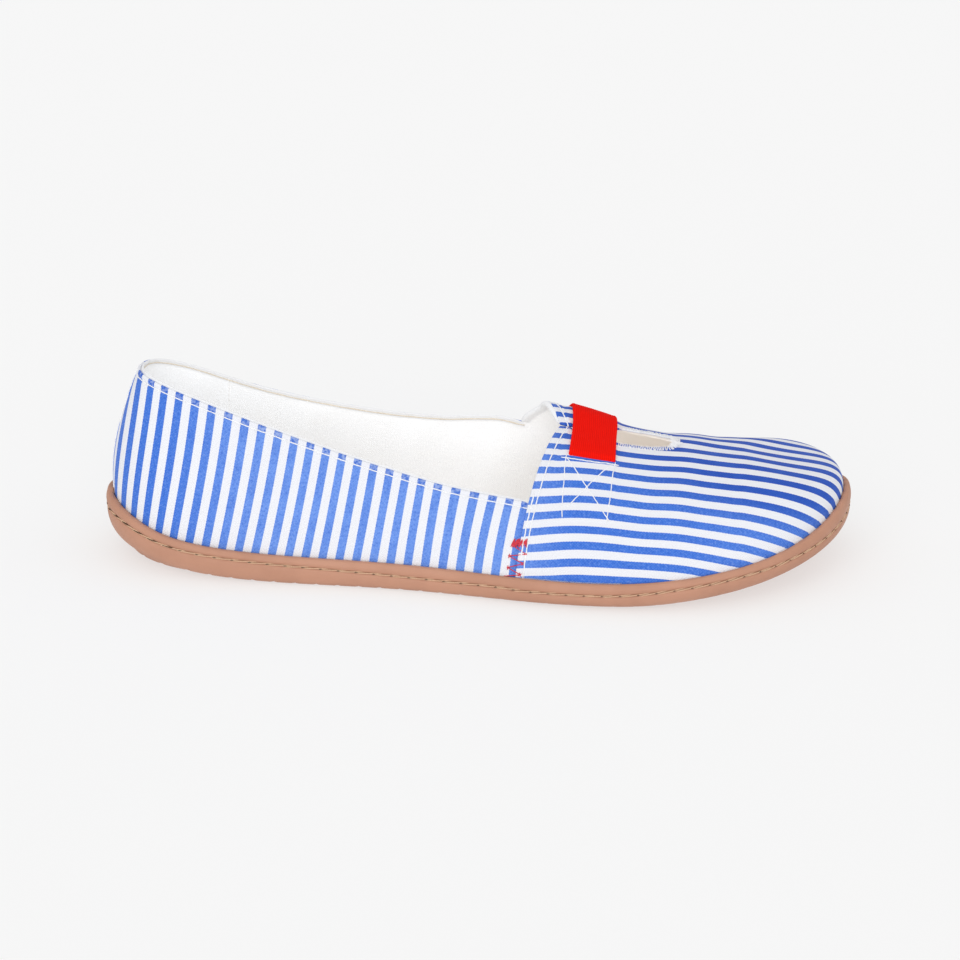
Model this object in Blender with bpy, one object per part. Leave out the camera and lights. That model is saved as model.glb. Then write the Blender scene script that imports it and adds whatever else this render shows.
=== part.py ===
"""A ballet flat for the right foot: a canvas upper on a rubber cupsole, with a red elastic over its slit vamp."""
import bmesh
import bpy
import numpy as np
from collections import namedtuple

# Millimetres throughout: heel's back at x = 0, toe toward +x, the outer (lateral) side at -y, ground at z = 0.
LENGTH = 256.0
SEAT = 2.6          # from the sole's outside face in to the upper's outside face
GAP = 0.35          # left between neighbouring pieces

# One row per cross-section, by its share of the length.  "bevel" is how far the tread's rim stays off the ground,
# "tuck" how far it goes in under the sidewall, and "arch" lifts the inner side's underside.
SoleRow = namedtuple("SoleRow", "share lateral medial lip groove bevel tuck arch")
SOLE = [
    SoleRow(0.000,   0.0,  0.0, 23.0, 17.6, 6.5, 4.8, 0.0),
    SoleRow(0.030,  19.0, 19.0, 20.5, 16.8, 5.6, 4.8, 0.0),
    SoleRow(0.080,  27.5, 27.5, 16.0, 12.8, 3.4, 4.6, 0.0),
    SoleRow(0.150,  31.5, 31.5, 12.8,  9.8, 1.1, 4.2, 0.0),
    SoleRow(0.270,  33.0, 32.5, 10.6,  7.4, 0.1, 2.4, 0.0),
    SoleRow(0.420,  36.0, 31.0,  9.8,  5.8, 0.1, 2.2, 0.8),
    SoleRow(0.560,  43.5, 36.0,  9.4,  5.8, 0.1, 3.2, 0.4),
    SoleRow(0.690,  48.0, 43.5,  9.7,  6.4, 0.3, 4.4, 0.0),
    SoleRow(0.800,  45.5, 46.5, 11.9,  9.0, 0.6, 5.4, 0.0),
    SoleRow(0.900,  34.5, 44.0, 15.8, 12.6, 0.4, 5.2, 0.0),
    SoleRow(0.970,  16.0, 34.0, 21.4, 16.6, 0.4, 4.8, 0.0),
    SoleRow(1.000, -10.0, 10.0, 25.8, 20.0, 0.6, 4.5, 0.0),
]
TOE_SPRING = 11.4       # how far the tread has left the ground at the toe
SPRING_FROM = 0.70      # share of the length where it starts
FLOOR = 4.6             # rubber under the foot
CUP = 10.0              # how far in from the rim the cup's floor is level

# The topline, heel to instep: how far it leans toward the toe, its half widths and its heights.
CollarRow = namedtuple("CollarRow", "share shift lateral medial height height_medial swell")
COLLAR = [
    CollarRow(0.000, 12.4,  0.0,  0.0, 67.0, 67.0, 4.4),
    CollarRow(0.030,  8.6, 11.3, 11.5, 66.8, 65.4, 4.2),
    CollarRow(0.100,  3.8, 16.3, 16.0, 62.6, 61.7, 3.2),
    CollarRow(0.200,  1.0, 18.0, 17.7, 54.3, 54.2, 2.4),
    CollarRow(0.320,  0.0, 18.8, 18.4, 44.0, 48.0, 2.2),
    CollarRow(0.450,  1.0, 24.0, 23.5, 35.6, 42.7, 2.0),
    CollarRow(0.561,  3.0, 31.5, 29.5, 31.0, 41.8, 1.5),
]

# Where the vamp's ribs leave the sole (base) and the point of the middle line they arrive at,
# with their fullness low and high, their lean off the upright and the tilt they arrive with on each side.
RibRow = namedtuple("RibRow", "base x y z lean low high tilt low_medial high_medial tilt_medial")
RIBS = [
    RibRow(0.380, 120.0, 3.0, 58.0, 18.0, 0.50, 0.45, 0.08, 0.80, 0.62, 0.60),
    RibRow(0.561, 156.8, 2.0, 47.8, 24.0, 0.55, 0.44, 0.08, 0.82, 0.64, 0.62),
    RibRow(0.625, 169.0, 2.0, 45.4, 27.0, 0.52, 0.47, 0.10, 0.70, 0.60, 0.52),
    RibRow(0.690, 181.5, 2.0, 43.7, 28.0, 0.50, 0.50, 0.12, 0.57, 0.53, 0.27),
    RibRow(0.800, 197.5, 3.0, 42.5, 25.0, 0.50, 0.52, 0.08, 0.51, 0.58, 0.04),
    RibRow(0.900, 210.0, 4.5, 40.8, 15.0, 0.55, 0.60, 0.05, 0.59, 0.57, 0.06),
    RibRow(0.970, 217.0, 5.5, 39.9, 6.0, 0.60, 0.72, 0.02, 0.72, 0.77, 0.04),
    RibRow(1.000, 219.0, 6.0, 39.5, 2.0, 0.62, 0.75, 0.00, 0.62, 0.75, 0.00),
]
JOIN = 0.561        # share of the length where the vamp's back edge meets the sole
BLEND = 0.44        # behind this the quarters run free of the vamp's shape

# The opening down the middle of the vamp: half its width along the middle line, slit first, then the keyhole.
SlitRow = namedtuple("SlitRow", "x half")
SLIT = [SlitRow(156.8, 0.9), SlitRow(163.0, 1.4), SlitRow(169.0, 3.2), SlitRow(175.0, 4.5), SlitRow(182.0, 5.0),
        SlitRow(188.0, 5.0), SlitRow(192.3, 4.0), SlitRow(194.8, 2.0), SlitRow(195.6, 0.0)]


def natural(knots, values):
    """A natural cubic spline through the rows, as a function."""
    k, v = np.asarray(knots, float), np.asarray(values, float)
    h = np.diff(k)
    n = len(k)
    system, right = np.eye(n), np.zeros(n)
    for i in range(1, n - 1):
        system[i, i - 1:i + 2] = h[i - 1], 2 * (h[i - 1] + h[i]), h[i]
        right[i] = 6 * ((v[i + 1] - v[i]) / h[i] - (v[i] - v[i - 1]) / h[i - 1])
    m = np.linalg.solve(system, right)

    def at(t):
        t = np.clip(t, k[0], k[-1])
        i = np.clip(np.searchsorted(k, t, side="right") - 1, 0, n - 2)
        a, b = k[i + 1] - t, t - k[i]
        return ((m[i] * a ** 3 + m[i + 1] * b ** 3) / (6 * h[i])
                + (v[i] / h[i] - m[i] * h[i] / 6) * a + (v[i + 1] / h[i] - m[i + 1] * h[i] / 6) * b)
    return at


def smooth(a, b, x):
    w = np.clip((np.asarray(x, float) - a) / (b - a), 0, 1)
    return w * w * (3 - 2 * w)


def turn(share):
    """The place on the outline where a section cuts it: 0 at the heel's back, 1 at the toe."""
    return np.arccos(1 - 2 * np.asarray(share, float)) / np.pi


def closed_ring(rows, name, other=None, flip=1):
    """A table column carried round the shoe: t 0..1 heel to toe on the outer side, 1..2 back on the inner."""
    t = list(turn([r.share for r in rows]))
    out = [flip * getattr(r, name) for r in rows]
    back = [getattr(r, other or name) for r in rows][-2:0:-1]
    k = t + [2 - x for x in t[-2:0:-1]]
    v = out + back
    f = natural([x - 2 for x in k[-3:]] + k + [x + 2 for x in k[:4]], v[-3:] + v + v[:4])
    return lambda q: f(np.mod(q, 2.0))


def heel_ring(rows, name, other=None, flip=1):
    """The same for a table that only runs round the heel."""
    t = list(turn([r.share for r in rows]))
    out = [flip * getattr(r, name) for r in rows]
    back = [getattr(r, other or name) for r in rows][:0:-1]
    f = natural([-x for x in t[:0:-1]] + t, back + out)
    return lambda q: f(np.mod(np.asarray(q) + 1.0, 2.0) - 1.0)


def toe_ring(rows, name, other=None):
    """The same for a table that only runs round the toe."""
    t = list(turn([r.base for r in rows]))
    f = natural(t + [2 - x for x in t[-2::-1]],
                [getattr(r, name) for r in rows] + [getattr(r, other or name) for r in rows][-2::-1])
    return lambda q: f(np.mod(q, 2.0))


edge_y = closed_ring(SOLE, "lateral", "medial", -1)
lip = closed_ring(SOLE, "lip")
groove = closed_ring(SOLE, "groove")
bevel_ring = closed_ring(SOLE, "bevel")
tuck = closed_ring(SOLE, "tuck")
arch_ring = closed_ring([r._replace(lateral=0.0) for r in SOLE], "lateral", "arch")
collar_shift = heel_ring(COLLAR, "shift")
collar_y = heel_ring(COLLAR, "lateral", "medial", -1)
collar_z = heel_ring(COLLAR, "height", "height_medial")
collar_swell = heel_ring(COLLAR, "swell")
rib_x, rib_y, rib_z, rib_lean = (toe_ring(RIBS, n) for n in ("x", "y", "z", "lean"))
rib_low, rib_high, rib_tilt = (toe_ring(RIBS, n, n + "_medial") for n in ("low", "high", "tilt"))
middle_z = natural([r.x for r in RIBS], [r.z for r in RIBS])
slit_half = natural([r.x for r in SLIT], [r.half for r in SLIT])

T_JOIN, T_BLEND = float(turn(JOIN)), float(turn(BLEND))


def spring(t):
    """How far the tread has left the ground, by its station alone."""
    share = (1 - np.cos(np.pi * np.asarray(t, float))) / 2
    return TOE_SPRING * np.clip((share - SPRING_FROM) / (1 - SPRING_FROM), 0, 1) ** 1.9


def bevel(t):
    return np.maximum(bevel_ring(t), 0.0)


def rise(t):
    """The height of the tread's rim."""
    return spring(t) + bevel(t) + np.maximum(arch_ring(t), 0.0)


def outline(t):
    t = np.asarray(t, float)
    return np.stack([LENGTH * (1 - np.cos(np.pi * t)) / 2, edge_y(t)], -1)


def outward(t):
    """The level direction straight out of the shoe's side."""
    d = outline(np.asarray(t) + 1e-3) - outline(np.asarray(t) - 1e-3)
    n = np.stack([d[..., 1], -d[..., 0], np.zeros(d.shape[:-1])], -1)
    return n / np.linalg.norm(n, axis=-1, keepdims=True)


def around(t, inset, z):
    """Points round the shoe, inset from its outline, at a height."""
    p = outline(t)
    p = np.concatenate([p, np.broadcast_to(np.asarray(z, float), p.shape[:-1])[..., None]], -1)
    return p - np.broadcast_to(np.asarray(inset, float), p.shape[:-1])[..., None] * outward(t)


def floor(t, in_from_rim=0.0):
    """The top of the sole inside the shoe: it cups up to its rim where the tread is bevelled."""
    return FLOOR + spring(t) * 0.8 + bevel(t) * 0.9 * (1 - smooth(0, CUP, in_from_rim))


def feather(t):
    """Where the upper's outside face comes out of the sole."""
    return around(t, SEAT, lip(t))


def middle(t):
    return np.stack([rib_x(t), rib_y(t), rib_z(t)], -1)


def bezier(c, v):
    v = np.asarray(v, float)[..., None]
    return c[0] * (1 - v) ** 3 + 3 * c[1] * v * (1 - v) ** 2 + 3 * c[2] * v * v * (1 - v) + c[3] * v ** 3


def part_of(c, a, b):
    """The stretch of a Bezier curve between two of its parameters."""
    def blossom(r, s, q):
        def go(p, w):
            return [p[i] * (1 - w) + p[i + 1] * w for i in range(len(p) - 1)]
        return go(go(go(list(c), r), s), q)[0]
    a, b = (np.asarray(w, float)[..., None] for w in (a, b))
    return blossom(a, a, a), blossom(a, a, b), blossom(a, b, b), blossom(b, b, b)


def vamp_rib(t):
    """The four controls of a rib from the sole to the middle line."""
    foot, top = feather(t), middle(t)
    run = top - foot
    flat = run * [1, 1, 0]
    length = np.linalg.norm(flat, axis=-1, keepdims=True)
    lean = np.radians(rib_lean(t))[..., None]
    up = np.concatenate([-outward(t)[..., :2] * np.sin(lean), np.cos(lean)], -1)
    over = flat / length
    x = np.clip(rib_x(t), RIBS[0].x + 0.5, RIBS[-1].x - 0.5)
    slope = middle_z(x + 0.5) - middle_z(x - 0.5)
    over[..., 2] = over[..., 0] * slope + over[..., 1] * rib_tilt(t)
    return foot, foot + up * (rib_low(t) * run[..., 2])[..., None], top - over * rib_high(t)[..., None] * length, top


def height_on(c, z):
    """The parameter at which a rib passes a height."""
    v = np.linspace(0, 1, 201)
    return float(np.interp(z, bezier([p[None] for p in c], v)[:, 2], v))


V_JOIN = [height_on(vamp_rib(np.array(t)), z)
          for t, z in ((T_JOIN, COLLAR[-1].height), (2 - T_JOIN, COLLAR[-1].height_medial))]


def quarter_rib(t):
    """The controls of a rib from the sole to the topline; it runs into the vamp's own shape at the join."""
    t = np.mod(np.asarray(t, float), 2.0)
    foot = feather(t)
    top = np.stack([outline(t)[..., 0] + collar_shift(t), collar_y(t), collar_z(t)], -1)
    run, n = top - foot, outward(t)
    swell = n * collar_swell(t)[..., None]
    own = foot, foot + run / 3 + swell, foot + run * 2 / 3 + swell * 0.6, top
    side = np.where(t > 1, 2 - t, t)
    held = np.where(t > 1, 2 - np.maximum(side, 0.42), np.maximum(side, 0.42))
    vamp = part_of(vamp_rib(held), np.zeros_like(t), np.where(t > 1, V_JOIN[1], V_JOIN[0]))
    w = smooth(T_BLEND, T_JOIN, side)[..., None]
    return tuple(o * (1 - w) + (m + (foot - vamp[0])) * w for o, m in zip(own, vamp))


def rib_over(x):
    """The place on the outer side whose rib arrives at station x of the middle line."""
    t = np.linspace(T_JOIN - 0.05, 1, 301)
    return float(np.interp(x, rib_x(t), t))


def rib_to_slit(t):
    """The vamp's rib, cut where the slit or keyhole opens."""
    c = vamp_rib(t)
    v = np.linspace(0.5, 1, 101).reshape((101,) + (1,) * np.ndim(t))
    p = bezier([q[None] for q in c], np.broadcast_to(v, (101,) + np.shape(t)))
    step = np.linalg.norm(np.diff(p, axis=0), axis=-1)
    left = np.concatenate([np.cumsum(step[::-1], 0)[::-1], np.zeros((1,) + np.shape(t))], 0)
    half = np.maximum(slit_half(rib_x(t)), 0.0)
    flat, want = left.reshape(101, -1), np.ravel(half)
    cut = [np.interp(-w, -flat[:, i], v.ravel()) for i, w in enumerate(want)]
    return c, np.reshape(cut, np.shape(t))


# ---- meshes -----------------------------------------------------------------------------------------------------

MM = 0.001
COLUMNS = 88        # places round the outline; even
ACROSS = 8          # steps from side to side where a ring is closed
WALL = 1.6          # canvas, lining and the fold between them
INSOLE_THICK = 3.0
GROOVE_DEEP, GROOVE_HALF = 0.7, 0.9
BAND_FROM, BAND_TO = 160.6, 175.2       # the strap's edges, straight across the shoe
BAND_REACH = 15.5                       # each way from the middle line
BAND_THICK, BAND_CLEAR = 1.3, 0.45


def material(name, colour, roughness):
    m = bpy.data.materials.new(name)
    m.use_nodes = True
    shader = m.node_tree.nodes["Principled BSDF"]
    shader.inputs["Base Color"].default_value = (*colour, 1.0)
    shader.inputs["Roughness"].default_value = roughness
    return m


def add_node(name, points, faces, look):
    """A named object from points in millimetres, placed so that the outline's box is centred over the origin."""
    mesh = bpy.data.meshes.new(name)
    mesh.from_pydata(((np.asarray(points) - CENTRE) * MM).tolist(), [], [list(map(int, f)) for f in faces])
    mesh.materials.append(look)
    mesh.validate()
    node = bpy.data.objects.new(name, mesh)
    bpy.context.collection.objects.link(node)
    tidy = bmesh.new()
    tidy.from_mesh(mesh)
    bmesh.ops.remove_doubles(tidy, verts=tidy.verts, dist=1e-7)
    bmesh.ops.recalc_face_normals(tidy, faces=tidy.faces)
    tidy.to_mesh(mesh)
    tidy.free()
    return node


def sweep(rings):
    """The points of rings laid one after another, and the quads between each ring and the next."""
    n = len(rings[0])
    quads = [(k * n + i, k * n + (i + 1) % n, (k + 1) * n + (i + 1) % n, (k + 1) * n + i)
             for k in range(len(rings) - 1) for i in range(n)]
    return [p for ring in rings for p in ring], quads


def close_ring(points, ring, height):
    """Closes a ring of the sweep with rows from its outer to its inner side, at height(t, how far in from the rim)."""
    n, across, start = COLUMNS, ACROSS, ring * COLUMNS
    half = n // 2
    rows = [[start] * (across + 1)]
    for i in range(1, half):
        a, b = points[start + i], points[start + n - i]
        width = abs(b[1] - a[1])
        row = [start + i]
        for k in range(1, across):
            w = k / across
            inward = min(w * width, (1 - w) * width, a[0] - points[start][0])
            row.append(len(points))
            points.append(np.array([*(a * (1 - w) + b * w)[:2], float(height(2 * i / n, inward))]))
        rows.append(row + [start + n - i])
    rows.append([start + half] * (across + 1))
    faces = []
    for one, two in zip(rows, rows[1:]):
        for k in range(across):
            f = [one[k], two[k], two[k + 1], one[k + 1]]
            faces.append([v for j, v in enumerate(f) if v != f[j - 1]])
    return faces


def outsole():
    """The cupsole, ring by ring: from the floor up inside the lip, over it, down the sidewall and under the tread."""
    t = np.arange(COLUMNS) * 2 / COLUMNS
    inner, under = SEAT - GAP, rise(t)
    points, faces = sweep([
        around(t, inner, floor(t)),
        around(t, inner, lip(t) - 1.0),
        around(t, 1.5, lip(t)),
        around(t, 0.8, lip(t)),
        around(t, 0.1, lip(t) - 0.9),
        around(t, 0.0, groove(t) + GROOVE_HALF),
        around(t, GROOVE_DEEP, groove(t)),
        around(t, 0.0, groove(t) - GROOVE_HALF),
        around(t, tuck(t) * 0.3, under * 0.7 + (groove(t) - GROOVE_HALF) * 0.3),
        around(t, tuck(t) * 0.8, under + 0.8),
        around(t, tuck(t) + 0.8, under),
        around(t, tuck(t) + 3.4, spring(t) + bevel(t) * 0.4),
        around(t, tuck(t) + 7.5, spring(t) + bevel(t) * 0.1),
    ])
    faces += close_ring(points, 12, lambda s, inward: spring(s))
    faces += close_ring(points, 0, floor)
    return add_node("outsole", points, faces, material("rubber", (0.60, 0.34, 0.24), 0.6))


def insole():
    """The footbed: a slab that follows the cup's floor."""
    t = np.arange(COLUMNS) * 2 / COLUMNS
    edge = SEAT + WALL + GAP
    low = floor(t) + GAP
    points, faces = sweep([around(t, edge, low), around(t, edge, low + INSOLE_THICK - 0.7),
                           around(t, edge + 0.7, low + INSOLE_THICK)])
    faces += close_ring(points, 0, lambda s, inward: floor(s, inward) + GAP)
    faces += close_ring(points, 2, lambda s, inward: floor(s, inward) + GAP + INSOLE_THICK)
    return add_node("insole", points, faces, material("footbed", (0.76, 0.68, 0.58), 0.9))


def thicken(points, faces, wall):
    """A closed shell: the surface given as its outside, and a copy moved in by the wall, joined at every rim."""
    points = np.asarray(points)
    normal = np.zeros_like(points)
    for f in faces:
        ring = points[f]
        area = sum(np.cross(ring[i] - ring[0], ring[(i + 1) % len(f)] - ring[0]) for i in range(1, len(f) - 1))
        normal[f] += area
    normal /= np.linalg.norm(normal, axis=1, keepdims=True)
    count = len(points)
    both = np.concatenate([points, points - normal * wall])
    edges = {(f[i], f[(i + 1) % len(f)]) for f in faces for i in range(len(f))}
    rims = [(b, a, a + count, b + count) for a, b in edges if (b, a) not in edges]
    return both, list(faces) + [[v + count for v in f[::-1]] for f in faces] + rims


def upper():
    """Columns of points round the shoe; each climbs a rib to the topline, or on up to the slit in the vamp."""
    low_rows, high_rows = 7, 9
    tip = rib_over(SLIT[-1].x)
    quarter = list(np.linspace(0, T_JOIN, 23))[:-1]
    vamp = list(np.linspace(T_JOIN, tip, 11))[:-1] + list(np.linspace(tip, 1, 11))
    outer = quarter + vamp
    columns = outer + [2 - s for s in outer[-2:0:-1]]
    points, grid = [], {}

    def put(key, p):
        grid[key] = len(points)
        points.append(p)

    for i, s in enumerate(columns):
        side, mirrored = min(s, 2 - s), len(columns) - i
        foot = feather(np.array(s))
        put((i, -1), np.array([foot[0], foot[1], floor(s) + GAP]))
        on_vamp = side >= T_JOIN - 1e-9
        if on_vamp:
            rib, cut = rib_to_slit(np.array(s))
            seam = V_JOIN[0] + (V_JOIN[1] - V_JOIN[0]) * smooth(T_JOIN, 2 - T_JOIN, s)
        else:
            rib, seam = quarter_rib(np.array(s)), 1.0
        for k in range(low_rows + 1):
            put((i, k), bezier(rib, np.array(seam * k / low_rows)))
        if not on_vamp:
            continue
        for k in range(1, high_rows + 1):
            if k == high_rows and s > 1 and side > tip - 1e-6:
                grid[(i, low_rows + k)] = grid[(mirrored, low_rows + k)]
            else:
                put((i, low_rows + k), bezier(rib, seam + (cut - seam) * k / high_rows))
    faces = []
    for i in range(len(columns)):
        j = (i + 1) % len(columns)
        for k in range(-1, low_rows + high_rows):
            corners = [(i, k), (j, k), (j, k + 1), (i, k + 1)]
            if all(c in grid for c in corners):
                f = [grid[c] for c in corners]
                faces.append([v for n, v in enumerate(f) if v != f[n - 1]])
    shell, shell_faces = thicken(points, faces, WALL)
    return add_node("upper", shell, shell_faces, material("canvas", (0.45, 0.55, 0.86), 0.85))


def across_vamp(x, reach):
    """Points of the vamp's outside straight across the shoe at x, so far from the middle line to the outer (-) or
    inner side."""
    row = []
    for d in reach:
        s = np.linspace(rib_over(x), 0.9, 300)
        ribs = vamp_rib(s if d < 0 else 2 - s)
        p = bezier([c[None] for c in ribs], np.linspace(1, 0.15, 171)[:, None] * np.ones(300))
        cut = np.array([[np.interp(-x, -p[:, k, 0], p[:, k, axis]) for axis in range(3)] for k in range(300)])
        run = np.concatenate([[0], np.cumsum(np.linalg.norm(np.diff(cut, axis=0), axis=1))])
        row.append([np.interp(abs(d), run, cut[:, axis]) for axis in range(3)])
    return np.array(row)


def elastic_band():
    """A strap from one side of the slit to the other: it bridges the dip between the vamp's halves."""
    stations = np.linspace(BAND_FROM, BAND_TO, 5)
    across = np.linspace(-BAND_REACH, BAND_REACH, 15)
    held = BAND_REACH * np.array([-1.0, -0.85, -0.7, -0.5, -0.32, 0.32, 0.45, 0.6, 0.75, 0.88, 1.0])
    base = np.array([[natural(held, column)(across) for column in across_vamp(x, held).T] for x in stations])
    base = base.transpose(0, 2, 1)
    normal = np.cross(np.gradient(base, axis=0), np.gradient(base, axis=1))
    normal /= np.linalg.norm(normal, axis=-1, keepdims=True)
    top = base + normal * (BAND_CLEAR + BAND_THICK)
    n = len(across)
    faces = [[i * n + k, (i + 1) * n + k, (i + 1) * n + k + 1, i * n + k + 1]
             for i in range(len(stations) - 1) for k in range(n - 1)]
    shell, shell_faces = thicken(top.reshape(-1, 3), faces, BAND_THICK)
    return add_node("elastic_band", shell, shell_faces, material("red_elastic", (0.80, 0.03, 0.01), 0.8))


EDGE = outline(np.arange(COLUMNS) * 2 / COLUMNS)
CENTRE = np.array([LENGTH / 2, (EDGE[:, 1].min() + EDGE[:, 1].max()) / 2, 0.0])

for thing in list(bpy.data.objects):
    bpy.data.objects.remove(thing)
for piece in (outsole, insole, upper, elastic_band):
    piece()
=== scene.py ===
"""A ballet flat for the right foot: striped canvas, a red elastic over its slit vamp, a rubber cupsole."""
import math
from collections import namedtuple

import bpy
import numpy as np
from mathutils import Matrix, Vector


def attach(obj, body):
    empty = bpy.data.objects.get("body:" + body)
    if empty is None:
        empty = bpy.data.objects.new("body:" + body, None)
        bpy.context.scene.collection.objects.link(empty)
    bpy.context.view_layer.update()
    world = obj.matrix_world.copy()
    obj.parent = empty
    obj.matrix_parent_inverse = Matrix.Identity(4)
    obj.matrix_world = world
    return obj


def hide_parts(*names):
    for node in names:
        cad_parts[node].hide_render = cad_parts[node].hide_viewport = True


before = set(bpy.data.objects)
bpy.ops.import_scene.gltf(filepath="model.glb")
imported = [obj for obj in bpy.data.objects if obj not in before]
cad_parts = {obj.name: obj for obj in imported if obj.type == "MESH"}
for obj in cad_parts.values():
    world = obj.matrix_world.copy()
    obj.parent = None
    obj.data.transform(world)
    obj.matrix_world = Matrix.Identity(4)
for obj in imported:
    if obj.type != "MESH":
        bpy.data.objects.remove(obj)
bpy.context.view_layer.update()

# ---- the shoe's own sizes ------------------------------------------------------------------------
# Millimetres throughout. The heel's back is at x = 0 and the toe toward +x, the outer (lateral) side is at
# -y, and the ground is at z = 0. The tables are the CAD's own. A place t goes round the outline: 0 is the
# heel's back and 1 the toe, reached by the outer side, and 1 to 2 comes back by the inner side.
MM = 0.001
LENGTH = 256.0
SEAT = 2.6          # from the sole's outside face in to the upper's outside face
GAP = 0.35          # left between neighbouring pieces
WALL = 1.6          # canvas and lining together

# The sole's sections: their share of the length, half widths to each side, and the heights of the lip, the
# stitched groove and the bevel under the rim; how far the wall tucks in below; and the inner side's arch.
SoleRow = namedtuple("SoleRow", "share lateral medial lip groove bevel tuck arch")
SOLE = [
    SoleRow(0.000,   0.0,  0.0, 23.0, 17.6, 6.5, 4.8, 0.0),
    SoleRow(0.030,  19.0, 19.0, 20.5, 16.8, 5.6, 4.8, 0.0),
    SoleRow(0.080,  27.5, 27.5, 16.0, 12.8, 3.4, 4.6, 0.0),
    SoleRow(0.150,  31.5, 31.5, 12.8,  9.8, 1.1, 4.2, 0.0),
    SoleRow(0.270,  33.0, 32.5, 10.6,  7.4, 0.1, 2.4, 0.0),
    SoleRow(0.420,  36.0, 31.0,  9.8,  5.8, 0.1, 2.2, 0.8),
    SoleRow(0.560,  43.5, 36.0,  9.4,  5.8, 0.1, 3.2, 0.4),
    SoleRow(0.690,  48.0, 43.5,  9.7,  6.4, 0.3, 4.4, 0.0),
    SoleRow(0.800,  45.5, 46.5, 11.9,  9.0, 0.6, 5.4, 0.0),
    SoleRow(0.900,  34.5, 44.0, 15.8, 12.6, 0.4, 5.2, 0.0),
    SoleRow(0.970,  16.0, 34.0, 21.4, 16.6, 0.4, 4.8, 0.0),
    SoleRow(1.000, -10.0, 10.0, 25.8, 20.0, 0.6, 4.5, 0.0),
]
TOE_SPRING = 11.4           # how high the toe's tread stands off the ground
SPRING_FROM = 0.70          # the share of the length where it starts to rise
SPRING_CURVE = 1.9
FLOOR = 4.6                 # the inside floor over the ground
FLOOR_SPRING = 0.8          # how much of the toe spring and the bevel the floor takes on
FLOOR_BEVEL = 0.9
CUP = 10.0                  # how far in from the rim the floor is cupped

# The topline's sections from the heel to the join: how far it leans toward the toe, its half widths, its
# heights, and how full the quarter stands out below it.
CollarRow = namedtuple("CollarRow", "share shift lateral medial height height_medial swell")
COLLAR = [
    CollarRow(0.000, 12.4,  0.0,  0.0, 67.0, 67.0, 4.4),
    CollarRow(0.030,  8.6, 11.3, 11.5, 66.8, 65.4, 4.2),
    CollarRow(0.100,  3.8, 16.3, 16.0, 62.6, 61.7, 3.2),
    CollarRow(0.200,  1.0, 18.0, 17.7, 54.3, 54.2, 2.4),
    CollarRow(0.320,  0.0, 18.8, 18.4, 44.0, 48.0, 2.2),
    CollarRow(0.450,  1.0, 24.0, 23.5, 35.6, 42.7, 2.0),
    CollarRow(0.561,  3.0, 31.5, 29.5, 31.0, 41.8, 1.5),
]

# The vamp's ribs: their foot on the sole (a share of the length) and the point of the middle line where they
# arrive, their lean off the upright, how full they are low and high, and the tilt they arrive with.
RibRow = namedtuple("RibRow", "base x y z lean low high tilt low_medial high_medial tilt_medial")
RIBS = [
    RibRow(0.380, 120.0, 3.0, 58.0, 18.0, 0.50, 0.45, 0.08, 0.80, 0.62, 0.60),
    RibRow(0.561, 156.8, 2.0, 47.8, 24.0, 0.55, 0.44, 0.08, 0.82, 0.64, 0.62),
    RibRow(0.625, 169.0, 2.0, 45.4, 27.0, 0.52, 0.47, 0.10, 0.70, 0.60, 0.52),
    RibRow(0.690, 181.5, 2.0, 43.7, 28.0, 0.50, 0.50, 0.12, 0.57, 0.53, 0.27),
    RibRow(0.800, 197.5, 3.0, 42.5, 25.0, 0.50, 0.52, 0.08, 0.51, 0.58, 0.04),
    RibRow(0.900, 210.0, 4.5, 40.8, 15.0, 0.55, 0.60, 0.05, 0.59, 0.57, 0.06),
    RibRow(0.970, 217.0, 5.5, 39.9, 6.0, 0.60, 0.72, 0.02, 0.72, 0.77, 0.04),
    RibRow(1.000, 219.0, 6.0, 39.5, 2.0, 0.62, 0.75, 0.00, 0.62, 0.75, 0.00),
]
JOIN = 0.561                # where the vamp laps over the quarters, and where their shapes start to blend
BLEND = 0.44
HELD_FROM = 0.42            # the vamp's shape is lent to the quarters no further back than this place
SWELL_HIGH = 0.6            # the share of the quarter's fullness that is left two thirds up

# The slit down the middle line and the keyhole that ends it.
SlitRow = namedtuple("SlitRow", "x half")
SLIT = [
    SlitRow(156.8, 0.9), SlitRow(163.0, 1.4), SlitRow(169.0, 3.2),
    SlitRow(175.0, 4.5), SlitRow(182.0, 5.0), SlitRow(188.0, 5.0),
    SlitRow(192.3, 4.0), SlitRow(194.8, 2.0), SlitRow(195.6, 0.0),
]
KEYHOLE_TIP = SLIT[-1].x


# ---- the shoe's surfaces -------------------------------------------------------------------------

def natural(knots, values):
    """A natural cubic spline through the rows, as a function."""
    k, v = np.asarray(knots, float), np.asarray(values, float)
    h = np.diff(k)
    n = len(k)
    system, right = np.eye(n), np.zeros(n)
    for i in range(1, n - 1):
        system[i, i - 1:i + 2] = h[i - 1], 2 * (h[i - 1] + h[i]), h[i]
        right[i] = 6 * ((v[i + 1] - v[i]) / h[i] - (v[i] - v[i - 1]) / h[i - 1])
    m = np.linalg.solve(system, right)

    def at(t):
        t = np.clip(t, k[0], k[-1])
        i = np.clip(np.searchsorted(k, t, side="right") - 1, 0, n - 2)
        a, b = k[i + 1] - t, t - k[i]
        return ((m[i] * a ** 3 + m[i + 1] * b ** 3) / (6 * h[i])
                + (v[i] / h[i] - m[i] * h[i] / 6) * a + (v[i + 1] / h[i] - m[i + 1] * h[i] / 6) * b)
    return at


def smooth(a, b, x):
    """A soft step from 0 at a to 1 at b."""
    w = np.clip((np.asarray(x, float) - a) / (b - a), 0, 1)
    return w * w * (3 - 2 * w)


def bump(x, centre, half):
    """A soft hump, 1 at the centre and nothing past half a width each side."""
    return np.maximum(1 - ((np.asarray(x, float) - centre) / half) ** 2, 0.0) ** 2


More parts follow.
